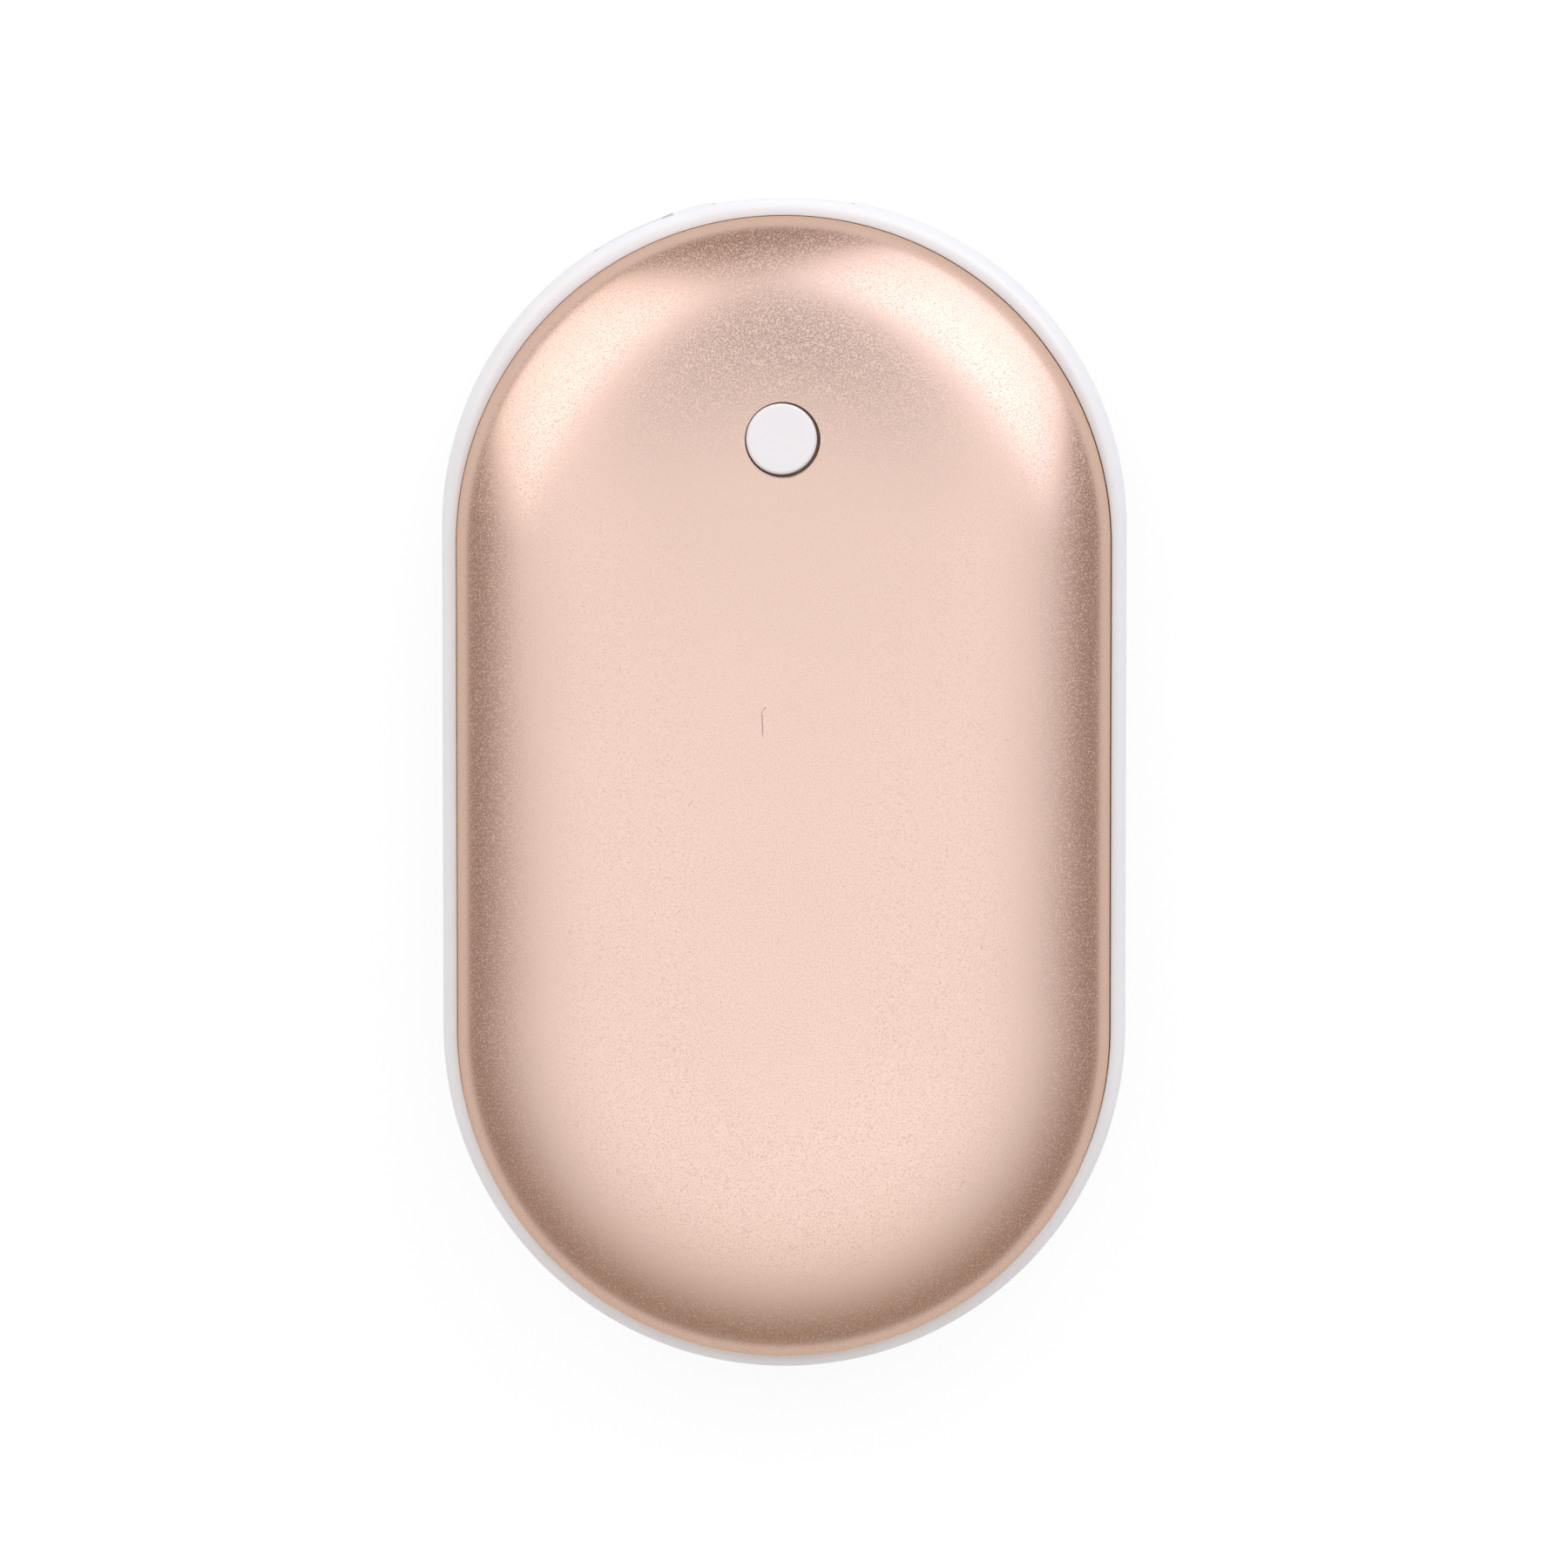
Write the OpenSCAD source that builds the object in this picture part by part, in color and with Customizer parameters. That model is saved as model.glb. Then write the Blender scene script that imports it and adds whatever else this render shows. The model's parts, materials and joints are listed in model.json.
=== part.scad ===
// Rechargeable pocket hand warmer, pebble shaped, lying on its back with the button up.
// Millimetres. X runs across the body, Y along it towards the ports, Z up from the resting face.
// Inside each part, heights are counted from the middle plane of the body.

/* [Body] */
// How much larger the end radius of the shells is than a cell's diameter
side_room = 11.1; // [10.5:0.1:12.3]
// How much shorter the straight sides are than a cell
end_room = 21; // [17:0.5:22]
// How much thicker the body is than a cell, with foam, heaters and shells on both sides
stack_h = 6.7; // [6.3:0.1:8.5]
// Wall of the pressed aluminium
shell_t = 0.8; // [0.6:0.1:1]
// Width of the curved border between the flat face and the edge
dome_run = 13; // [12:0.25:14]
// Upright wall of a shell, from its seat in the frame to the start of the curve
skirt_h = 2.2; // [1.8:0.1:2.6]

/* [Frame] */
// Height of the white band between the shells
band_h = 8.8; // [8.4:0.1:9.6]
// How far the band stands out past the shells
frame_margin = 1.8; // [1.6:0.1:2.4]
// Wall of the frame behind its widest line
frame_wall = 2.5; // [2.2:0.1:2.7]
// Radius of the frame's shoulders beside the ports
shoulder_r = 29.8; // [29.4:0.1:30.4]
// Radius of the frame's crown at the ports
crown_r = 32.5; // [32.2:0.1:33.5]
// Depth of the flat that carries the wide port
port_flat = 0.55; // [0.3:0.05:0.8]
// Gap between a shell's edge and the frame's lip
seam_gap = 0.2; // [0.12:0.02:0.3]

/* [Button] */
// Diameter of the button's face
button_d = 6.3; // [5.5:0.1:7.5]
// Mean gap between the button and its hole
button_gap = 0.24; // [0.2:0.02:0.35]
// How far the face stands out of the shell
button_proud = 0.2; // [0.1:0.05:0.4]
// Travel of the button when pressed
button_travel = 0.35; // [0.2:0.05:0.4]
// Place of the button's centre between the centre and the tip of the port end, as a share
button_share = 0.295; // [0.28:0.005:0.32]

/* [Power] */
// Diameter of each round cell
cell_d = 18.3; // [17:0.1:20]
// Length of each cell
cell_l = 65; // [60:0.5:72]
// Thickness of the circuit board
board_t = 1.6; // [1:0.1:1.8]
// Thickness of each heater film
film_t = 0.25; // [0.15:0.05:0.4]
// Runs of foil in each heater
element_runs = 12; // [8:2:16]

/* [Ports] */
// Outer width of the wide output socket
usb_w = 13.1; // [12.5:0.1:14]
// Outer height of the wide output socket
usb_h = 5.7; // [5.4:0.1:5.8]
// Length of the wide output socket
usb_l = 14; // [12:0.5:14]
// Outer width of the narrow charging socket
micro_w = 7.5; // [7:0.1:8]
// Outer height of the narrow charging socket
micro_h = 2.6; // [2.4:0.1:2.8]
// Turn of the narrow socket round the end, from straight ahead
micro_turn = 25.8; // [25:0.2:29]

/* [Hidden] */
$fn = 48;
curve_steps = 14;
// Overrun of every cut past the face that it leaves by
over = 0.4;
// Play between parts that are placed and not fitted
play = 0.1;
// Gap at faces that are glued or soldered
seat_gap = 0.05;

// The body's size, which follows from the cells
shell_r = cell_d + side_room;
straight_l = cell_l - end_room;
body_h = cell_d + stack_h;

// Places that most parts share
end_y = straight_l / 2;
mid_z = body_h / 2;
lip_z = band_h / 2;
rebate = 0.8;
ledge_z = lip_z - rebate;
skirt_z = ledge_z + seat_gap;
dome_z = ledge_z + skirt_h;
dome_rise = mid_z - dome_z;
flat_r = shell_r - dome_run;
face_in_z = mid_z - shell_t;

// Frame
frame_r = shell_r + frame_margin;
frame_in_r = frame_r - frame_wall;
tip_y = end_y + frame_r;
pillow = 1.5;
band_depth = 4.5;
flange_t = 1.2;
flange_lap = 0.7;
flange_z = ledge_z - flange_t;
flange_in_r = shell_r - shell_t - flange_lap;
shoulder_x = frame_r - shoulder_r;
crown_dy = sqrt(pow(crown_r - shoulder_r, 2) - pow(shoulder_x, 2));
crown_y = tip_y + port_flat - crown_r;
shoulder_y = crown_y + crown_dy;
shoulder_a = atan2(crown_dy, shoulder_x);
rib_t = 1.6;
rib_bite = 0.6;
boss_r = 2.2;
boss_h = 3.8;
screw_r = 0.95;
screw_play = 0.05;

// Liners, which hold the shells to the frame with snap hooks
bond_gap = 0.15;
liner_t = 1.4;
liner_gap = shell_t + bond_gap;
liner_z = ledge_z + play;
liner_sweep = 38;
hook_w = 6;
hook_t = 1.2;
hook_gap = 0.3;
hook_root = 1.6;
hook_out_r = flange_in_r - hook_gap;
hook_in_r = hook_out_r - hook_t;
barb_h = 0.8;
barb_gap = 0.2;
barb_r = frame_in_r - hook_gap;
hook_side_shares = [-0.41, 0, 0.41];
hook_front_angles = [42, 138];
hook_back_angles = [-60, -120];

// Circuit board's level, which the wide socket under it sets
board_z = usb_h / 2;
board_top_z = board_z + board_t;

// Button and the tact switch under it
button_y = end_y + frame_r * button_share;
button_off = [-0.1, 0.05];
button_r = button_d / 2;
button_hole_r = button_r + button_gap;
button_edge_r = 0.3;
button_flange_w = 1.1;
button_flange_t = 0.9;
button_flange_r = button_hole_r + button_flange_w;
button_z = face_in_z - play - button_flange_t;
stem_r = 1.8;
stem_play = 0.12;
contact_gap = 0.03;
switch_w = 6.2;
switch_drop = 2.75;
switch_floor_share = 0.375;
switch_bore_r = 2.3;
switch_cover_t = 0.3;
dome_disc_r = 2.1;
dome_disc_h = 0.5;
dome_disc_t = 0.08;
plunger_r = 1.6;
plunger_foot_r = 2.1;
plunger_foot_share = 0.6;
plunger_out = 0.9;
plunger_play = 0.12;
terminal_w = 0.8;
terminal_t = 0.2;
terminal_l = 1;
terminal_share = 0.36;
switch_top_z = button_z - switch_drop;
switch_rim_z = switch_top_z - switch_cover_t;
switch_h = switch_rim_z - board_top_z;
switch_floor_z = board_top_z + switch_h * switch_floor_share;
plunger_z = switch_floor_z + dome_disc_h + contact_gap;
plunger_neck_z = plunger_z + (switch_rim_z - plunger_z) * plunger_foot_share;
plunger_top_z = switch_top_z + plunger_out;
guide_gap = 0.2;
guide_t = 1;
guide_w = 8;
guide_boss_r = 2.9;
guide_z = switch_top_z + guide_gap;
guide_top_z = button_z - button_travel - guide_gap;
guide_r = flat_r + (dome_run - liner_gap - liner_t) * cos(liner_sweep) + guide_t / 2;
light_hole_r = 1.1;

// Outline and fixings of the board
board_edge = 1.1;
board_y = button_y - switch_w / 2 - board_edge;
board_gap = 0.5;
board_r = hook_in_r - board_gap;
nose_gap = 0.4;
nose_r = frame_in_r - nose_gap;
nose_w = 33;
nose_play = 0.2;
screw_shares = [[-0.79, 0.33], [0.79, 0.33], [0.46, 0.77]];
screw_head_r = 1.8;
screw_head_h = 1.2;
screw_l = 5;
recess_w = 0.5;
recess_l = 2;
recess_h = 0.6;
pad_x = 7;

// Wide output socket
usb_wall = 0.3;
usb_corner = 0.6;
port_recess = 0.4;
port_play = 0.2;
usb_mouth_y = tip_y - port_recess;
usb_back_y = usb_mouth_y - usb_l;
usb_block_l = 3;
tongue_w = 11.1;
tongue_h = 1.84;
tongue_gap = 0.72;
tongue_in = 2;
tongue_z = usb_wall + tongue_gap + tongue_h - usb_h / 2;
usb_contact_w = 1;
usb_contact_t = 0.22;
usb_contact_in = 0.8;
usb_contact_pitch = 2.25;
usb_contact_shares = [-1.5, -0.5, 0.5, 1.5];
usb_tail_w = 0.5;
usb_tab_w = 1.4;
usb_tab_out = 0.4;
usb_tab_shares = [0.25, 0.6];
usb_spring_w = 1.6;
usb_spring_l = 5;
usb_spring_in = 2;
usb_spring_share = 0.22;
usb_slit = 0.3;

// Narrow charging socket
micro_l = 5.4;
micro_wall = 0.25;
micro_base_share = 0.76;
micro_side_share = 0.45;
micro_mouth_r = frame_r - port_recess;
micro_z = board_z - micro_h / 2;
micro_block_l = 1.6;
micro_tongue_w = 4;
micro_tongue_h = 0.6;
micro_tongue_in = 1;
micro_contact_w = 0.3;
micro_contact_t = 0.1;
micro_pitch = 0.65;
micro_contacts = 5;

// Parts on the board, their places as shares of the board's radius from the end centre
chip_size = [5, 4, 1.3];
chip_share = [0, 0.87];
chip_pins = 5;
chip_pitch = 0.95;
pin_size = [0.35, 0.8, 0.15];
coil_size = [6, 6, 3];
coil_share = [-0.46, 0.655];
coil_corner = 1.2;
coil_cap_t = 0.6;
coil_core_share = 0.42;
fet_size = [3, 1.5, 1.1];
fet_shares = [[0.31, 0.56], [0.31, 0.66]];
passive_size = [1.6, 0.8, 0.6];
passive_shares = [
    [-0.20, 0.56], [-0.09, 0.56], [0.02, 0.56], [0.13, 0.56], [-0.17, 0.84], [-0.17, 0.90],
    [0.17, 0.84], [0.17, 0.90], [-0.17, 0.78], [0.17, 0.78], [0.55, 0.57], [0.64, 0.57],
    [0.55, 0.64], [-0.66, 0.56], [-0.66, 0.62]
];
led_size = [1.2, 1.2, 0.7];
led_reach = 5;
socket_size = [6, 5, 3.2];
socket_share = 0.5;
socket_x = board_r * socket_share;
socket_in = 2.5;
socket_wall = 0.5;
plug_play = 0.1;
plug_l = 4;
plug_out = 1.4;
pin_gap = 2;
plug_w = socket_size[0] - 2 * (socket_wall + plug_play);
plug_h = socket_size[2] - 2 * (socket_wall + plug_play);
socket_y = board_y + socket_in;
plug_y = socket_y - plug_out;
plug_z = board_top_z + socket_size[2] / 2;

// Cells and what holds them
wrap_t = 0.12;
wrap_play = 0.02;
cell_gap = 0.16;
cell_r = cell_d / 2;
wrap_r = cell_r + wrap_t;
cell_x = wrap_r + cell_gap / 2;
strip_t = 0.15;
strip_w = 7;
strip_reach = 4;
strip_slit = 0.6;
strip_slit_share = 0.55;
strip_tab_w = 2;
strip_tab_h = 2.4;
end_gap = 0.6;
rib_lap = 0.4;
cross_y = board_y + rib_lap - rib_t;
cross_low = 6;
cross_w = 36;
cross_half = sqrt(pow(frame_in_r + rib_bite, 2) - pow(cross_y - end_y, 2));
cell_y1 = cross_y - end_gap - strip_t;
cell_y0 = cell_y1 - cell_l;
cap_r = 2.9;
cap_h = 0.8;
cap_well = 0.6;
crimp_step = 0.75;
crimp_w = 1.6;
crimp_r = cell_r - crimp_step;
crimp_in_r = crimp_r - crimp_w;
crimp_h = 0.5;
groove_y = 5;
groove_w = 1.2;
groove_d = 0.5;
cell_edge = 0.4;
can_l = cell_l - cap_h;
ring_t = 0.2;
ring_bore_r = 4.2;
saddle_shares = [0.18, 0.82];
saddle_t = 2;
saddle_web = 0.8;
saddle_play = 0.15;
saddle_top = 1;
rail_t = 1.5;
rail_h = 3.4;
rail_x = cell_x + wrap_r + saddle_play;
stop_gap = 0.3;
spine_w = 4;
spine_h = 2.4;
spine_rise = 1.2;
ear_t = 1.6;
ear_w = 3.6;
ear_z = saddle_top - ear_t;
tray_boss_inset = 4.1;
tray_boss_x = frame_in_r - tray_boss_inset;
tray_boss_share = 0.2;
tray_boss_y = straight_l * tray_boss_share;

// Heaters and foam
film_edge = 0.9;
film_r = flat_r - film_edge;
film_gap = 1.5;
film_y1 = button_y - button_flange_r - film_gap;
film_z = face_in_z - film_t;
element_t = 0.08;
element_z = film_z - element_t;
element_fill_share = 0.55;
element_side = 2;
element_w = 2 * (film_r - element_side);
element_in = 5;
element_y0 = -end_y - element_in;
element_y1 = film_y1 - element_in;
tail_w = 2;
tail_x = 6;
return_x = (element_w - tail_w) / 2;
foam_in = 2.5;
foam_out_share = 0.95;
foam_corner = 1.5;
foam_z0 = wrap_r + play;
foam_z1 = element_z - seat_gap;
foam_y0 = cell_y0 + cell_l * saddle_shares[0] + saddle_t / 2 + play;
foam_y1 = cell_y0 + cell_l * saddle_shares[1] - saddle_t / 2 - play;
fuse_r = 1.1;
fuse_l = 9;
fuse_neck = 1;
fuse_lead_r = 0.3;
fuse_lead_l = 6;
fuse_y = -5;
bead_r = 0.8;
bead_l = 1.6;
bead_y = 6;
sense_z = element_z - seat_gap;

// Leads
lead_r = 0.75;
heater_lead_r = 0.55;
sense_lead_r = 0.28;
sense_pitch = 1;
sense_x = 5.2;
lead_sides = 8;
lead_rounds = 2;
valley_z = 5.2;
side_gap = 2.1;
side_x = rail_x + rail_t + side_gap;
side_in = 2;

// Points along an elliptical arc about [cx, cz]
function arc(rx, rz, cx, cz, a0, a1, n = curve_steps) =
    [for (i = [0:n]) let (a = a0 + (a1 - a0) * i / n) [cx + rx * cos(a), cz + rz * sin(a)]];
function reversed(p) = [for (i = [len(p) - 1:-1:0]) p[i]];
function unit(v) = v / norm(v);
// Corner cutting, which rounds a route a little more with every pass
function cut_corners(p) = concat(
    [p[0]],
    [for (i = [0:len(p) - 2]) each [p[i] * 0.75 + p[i + 1] * 0.25, p[i] * 0.25 + p[i + 1] * 0.75]],
    [p[len(p) - 1]]);
function rounded(p, k) = k == 0 ? p : rounded(cut_corners(p), k - 1);
function headings(p) = [for (i = [0:len(p) - 1]) unit(p[min(i + 1, len(p) - 1)] - p[max(i - 1, 0)])];
function side_of(t) = unit(cross(t, abs(t[2]) < 0.9 ? [0, 0, 1] : [1, 0, 0]));
// Ring directions that turn as little as they can from one ring to the next
function normals(t, i, last) =
    i == len(t) ? [] : let (n = unit(last - (last * t[i]) * t[i])) concat([n], normals(t, i + 1, n));

module at_mid() {
    translate([0, 0, mid_z]) children();
}

// Draws its children on the front side, or turned over for the rear side
module on_side(front) {
    at_mid() mirror([0, 0, front ? 0 : 1]) children();
}

module at_button() {
    at_mid() translate([button_off[0], button_y + button_off[1], 0]) children();
}

module stadium_2d(r) {
    square([2 * r, straight_l], center = true);
    for (s = [-1, 1]) translate([0, s * end_y]) circle(r);
}

module stadium_prism(r, z0, z1) {
    translate([0, 0, z0]) linear_extrude(z1 - z0) stadium_2d(r);
}

// Carries a profile round the outline that the shells share
module stadium_sweep(profile) {
    for (turn = [0, 180]) rotate([0, 0, turn]) {
        translate([0, end_y, 0]) rotate_extrude(angle = 180) polygon(profile);
        rotate([90, 0, 0]) linear_extrude(straight_l, center = true) polygon(profile);
    }
}

module rounded_rect_2d(w, h, r) {
    square([w - 2 * r, h], center = true);
    square([w, h - 2 * r], center = true);
    for (x = [-1, 1], y = [-1, 1]) translate([x * (w / 2 - r), y * (h / 2 - r)]) circle(r);
}

// A box centred on X and Y that stands on Z = 0
module block(size) {
    translate([-size[0] / 2, -size[1] / 2, 0]) cube(size);
}

// Extrudes a section drawn in X and Z from y0 to y1
module along_y(y0, y1) {
    translate([0, y1, 0]) rotate([90, 0, 0]) linear_extrude(y1 - y0) children();
}

// A tube along a route, as one solid with lead_sides sides
module tube(route, r) {
    p = rounded(route, lead_rounds);
    t = headings(p);
    n = normals(t, 0, side_of(t[0]));
    k = lead_sides;
    last = len(p) - 1;
    points = [for (i = [0:last], j = [0:k - 1])
        p[i] + r * (cos(j * 360 / k) * n[i] + sin(j * 360 / k) * cross(t[i], n[i]))];
    sides = [for (i = [0:last - 1], j = [0:k - 1])
        let (a = i * k + j, b = i * k + (j + 1) % k) each [[a, a + k, b + k], [a, b + k, b]]];
    first_cap = [for (j = [1:k - 2]) [0, j, j + 1]];
    last_cap = [for (j = [1:k - 2]) [last * k, last * k + j + 1, last * k + j]];
    polyhedron(points, concat(sides, first_cap, last_cap));
}

// Half section of a shell, drawn in by gap from its outside, with its own wall
function dome_profile(gap, wall, z0, sweep) = concat(
    [[shell_r - gap, z0]],
    arc(dome_run - gap, dome_rise - gap, flat_r, dome_z, 0, sweep),
    sweep < 90 ? [] : [[0, mid_z - gap], [0, mid_z - gap - wall]],
    reversed(arc(dome_run - gap - wall, dome_rise - gap - wall, flat_r, dome_z, 0, sweep)),
    [[shell_r - gap - wall, z0]]);

module front_shell() {
    color([0.93, 0.76, 0.68]) at_mid() difference() {
        stadium_sweep(dome_profile(0, shell_t, skirt_z, 90));
        translate([0, button_y, face_in_z - over]) cylinder(r = button_hole_r, h = shell_t + 2 * over);
    }
}

module rear_shell() {
    color([0.93, 0.76, 0.68]) on_side(false) stadium_sweep(dome_profile(0, shell_t, skirt_z, 90));
}

// Half section of the frame's band before it is hollowed
function band_profile(r) = concat(
    [[r - band_depth, -lip_z]],
    arc(pillow, lip_z, r - pillow, 0, -90, 90),
    [[r - band_depth, lip_z]]);

module frame_band() {
    translate([0, -end_y, 0]) rotate([0, 0, 180]) rotate_extrude(angle = 180) polygon(band_profile(frame_r));
    for (s = [0, 1]) mirror([s, 0, 0]) {
        along_y(-end_y, end_y) polygon(band_profile(frame_r));
        along_y(shoulder_y - band_h, shoulder_y) polygon(band_profile(frame_r));
        translate([shoulder_x, shoulder_y, 0])
            rotate_extrude(angle = shoulder_a) polygon(band_profile(shoulder_r));
    }
    translate([0, crown_y, 0]) rotate([0, 0, shoulder_a])
        rotate_extrude(angle = 180 - 2 * shoulder_a) polygon(band_profile(crown_r));
}

// The board's round nose, which reaches over both sockets to the frame
module nose_2d(grow) {
    intersection() {
        translate([0, end_y]) circle(nose_r + grow);
        translate([-nose_w / 2 - grow, end_y]) square([nose_w + 2 * grow, nose_r + 2 * grow]);
    }
}

module frame_hollow() {
    stadium_prism(flange_in_r, -lip_z - over, lip_z + over);
    stadium_prism(frame_in_r, -flange_z, flange_z);
    for (s = [0, 1]) mirror([0, 0, s]) stadium_prism(shell_r + seam_gap, ledge_z, lip_z + over);
    translate([-frame_r, tip_y, -lip_z - over]) cube([2 * frame_r, port_flat + over, band_h + 2 * over]);
    translate([0, 0, board_z - play]) linear_extrude(lip_z) nose_2d(nose_play);
}

module usb_section_2d(grow) {
    rounded_rect_2d(usb_w + 2 * grow, usb_h + 2 * grow, usb_corner + grow);
}

// Moves its children to the narrow socket's mouth, with local Y pointing out of it
module at_micro() {
    translate([0, end_y, micro_z]) rotate([0, 0, micro_turn]) translate([0, micro_mouth_r, 0]) children();
}

module micro_section_2d(grow) {
    w = micro_w / 2 + grow;
    h = micro_h / 2 + grow;
    low = micro_h * micro_side_share - micro_h / 2;
    polygon([[-w, h], [w, h], [w, low], [w * micro_base_share, -h], [-w * micro_base_share, -h], [-w, low]]);
}

module port_openings() {
    along_y(usb_back_y, tip_y + over) usb_section_2d(port_play);
    at_micro() along_y(-micro_l, crown_r - micro_mouth_r) micro_section_2d(port_play);
}

// A screw boss with a web back to the frame's wall, which runs away from the point [0, cy]
module boss(place, z0, z1, cy) {
    reach = norm([place[0], place[1] - cy]);
    translate([place[0], place[1], z0]) cylinder(r = boss_r, h = z1 - z0);
    translate([0, cy, max(z0, -flange_z)]) rotate([0, 0, atan2(place[1] - cy, place[0])])
        translate([reach, -rib_t / 2, 0])
            cube([frame_in_r + rib_bite - reach, rib_t, min(z1, flange_z) - max(z0, -flange_z)]);
}

module pilot(place, z1) {
    translate([place[0], place[1], z1 - boss_h - over])
        cylinder(r = screw_r + screw_play, h = boss_h + 2 * over);
}

function board_screw_places() = [for (s = screw_shares) [s[0] * board_r, end_y + s[1] * board_r]];
function tray_screw_places() = [for (x = [-1, 1], y = [-1, 1]) [x * tray_boss_x, y * tray_boss_y]];

// The cross rib, which stops the cells and carries the board's straight edge
module cross_rib() {
    translate([-cross_half, cross_y, -flange_z]) cube([2 * cross_half, rib_t, 2 * flange_z]);
    translate([-cross_w / 2, cross_y, -cross_low]) cube([cross_w, rib_t, cross_low + board_z]);
}

module mid_frame() {
    color([0.92, 0.91, 0.93]) at_mid() difference() {
        union() {
            difference() {
                frame_band();
                frame_hollow();
            }
            for (p = board_screw_places()) boss(p, board_z - boss_h, board_z, end_y);
            for (p = tray_screw_places()) boss(p, ear_z - boss_h, ear_z, p[1]);
            cross_rib();
        }
        port_openings();
        for (p = board_screw_places()) pilot(p, board_z);
        for (p = tray_screw_places()) pilot(p, ear_z);
    }
}

// A snap hook whose barb points along +X, away from the body's middle
module hook() {
    top = flange_z - barb_gap;
    profile = [
        [hook_in_r, top - barb_h], [hook_out_r, top - barb_h], [barb_r, top - barb_h / 2],
        [barb_r, top], [hook_out_r, top], [hook_out_r, liner_z + hook_root],
        [hook_in_r, liner_z + hook_root]
    ];
    rotate([90, 0, 0]) linear_extrude(hook_w, center = true) polygon(profile);
}

module liner_ring() {
    stadium_sweep(dome_profile(liner_gap, liner_t, liner_z, liner_sweep));
    for (s = [0, 180], share = hook_side_shares)
        translate([0, share * straight_l, 0]) rotate([0, 0, s]) hook();
    for (a = hook_front_angles) translate([0, end_y, 0]) rotate([0, 0, a]) hook();
    for (a = hook_back_angles) translate([0, -end_y, 0]) rotate([0, 0, a]) hook();
}

module guide_bridge() {
    translate([0, 0, guide_z]) linear_extrude(guide_t) intersection() {
        translate([0, end_y]) circle(guide_r);
        translate([0, button_y]) square([2 * guide_r, guide_w], center = true);
    }
    translate([button_off[0], button_y + button_off[1], guide_z])
        cylinder(r = guide_boss_r, h = guide_top_z - guide_z);
}

module front_liner() {
    color([0.85, 0.85, 0.86]) difference() {
        at_mid() union() {
            liner_ring();
            guide_bridge();
        }
        at_mid() translate([0, 0, board_z - play]) linear_extrude(board_t + 2 * play) nose_2d(2 * nose_play);
        at_button() translate([0, 0, guide_z - over])
            cylinder(r = stem_r + stem_play, h = guide_top_z - guide_z + 2 * over);
        at_button() for (s = [-1, 1]) translate([s * led_reach, 0, guide_z - over])
            cylinder(r = light_hole_r, h = guide_t + 2 * over);
    }
}

module rear_liner() {
    color([0.85, 0.85, 0.86]) on_side(false) liner_ring();
}

module button_cap() {
    top = mid_z + button_proud;
    color([0.93, 0.92, 0.93]) at_button() rotate_extrude() polygon(concat(
        [[0, plunger_top_z + contact_gap], [stem_r, plunger_top_z + contact_gap], [stem_r, button_z],
            [button_flange_r, button_z], [button_flange_r, button_z + button_flange_t],
            [button_r, button_z + button_flange_t]],
        arc(button_edge_r, button_edge_r, button_r - button_edge_r, top - button_edge_r, 0, 90, 4),
        [[0, top]]));
}

module switch_base() {
    color([0.15, 0.15, 0.16]) at_button() difference() {
        translate([0, 0, board_top_z]) block([switch_w, switch_w, switch_h]);
        translate([0, 0, switch_floor_z]) cylinder(r = switch_bore_r, h = switch_h);
    }
}

module switch_cover() {
    color([0.8, 0.8, 0.8]) at_button() difference() {
        translate([0, 0, switch_rim_z]) block([switch_w, switch_w, switch_cover_t]);
        translate([0, 0, switch_rim_z - over])
            cylinder(r = plunger_r + plunger_play, h = 2 * over + switch_cover_t);
    }
}

// The snap dome, part of a sphere that stands on its rim
module switch_dome() {
    ball_r = (pow(dome_disc_r, 2) + pow(dome_disc_h, 2)) / (2 * dome_disc_h);
    in_r = ball_r - dome_disc_t;
    low_z = dome_disc_h - ball_r;
    rim_a = acos(dome_disc_r / ball_r);
    in_a = asin(-low_z / in_r);
    color([0.85, 0.8, 0.7]) at_button() translate([0, 0, switch_floor_z]) rotate_extrude() polygon(concat(
        arc(ball_r, ball_r, 0, low_z, rim_a, 90, 6),
        reversed(arc(in_r, in_r, 0, low_z, in_a, 90, 6))));
}

module switch_plunger() {
    color([0.2, 0.2, 0.2]) at_button() {
        translate([0, 0, plunger_z]) cylinder(r = plunger_foot_r, h = plunger_neck_z - plunger_z);
        translate([0, 0, plunger_z]) cylinder(r = plunger_r, h = plunger_top_z - plunger_z);
    }
}

module switch_terminals() {
    color([0.85, 0.85, 0.85]) at_button() for (x = [-1, 1], y = [-1, 1])
        translate([x * (switch_w + terminal_l) / 2, y * switch_w * terminal_share, board_top_z])
            block([terminal_l, terminal_w, terminal_t]);
}

module circuit_board() {
    color([0.1, 0.35, 0.2]) at_mid() translate([0, 0, board_z]) linear_extrude(board_t) difference() {
        intersection() {
            union() {
                translate([0, end_y]) circle(board_r);
                nose_2d(0);
            }
            translate([-board_r, board_y]) square(2 * board_r);
        }
        for (p = board_screw_places()) translate(p) circle(screw_r + play);
        for (x = [-1, 1], share = usb_tab_shares)
            translate([x * (usb_w - usb_wall) / 2, usb_back_y + share * usb_l])
                square([usb_wall + 2 * play, usb_tab_w + 2 * play], center = true);
        for (share = usb_contact_shares)
            translate([share * usb_contact_pitch, usb_back_y - usb_contact_t / 2])
                square([usb_tail_w + 2 * play, usb_contact_t + 2 * play], center = true);
    }
}

// A pan head screw that stands on Z = 0 and points down
module screw() {
    difference() {
        cylinder(r = screw_head_r, h = screw_head_h);
        for (turn = [0, 90]) rotate([0, 0, turn]) translate([0, 0, screw_head_h - recess_h])
            block([recess_l, recess_w, recess_h + over]);
    }
    translate([0, 0, -screw_l]) cylinder(r = screw_r, h = screw_l);
}

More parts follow.
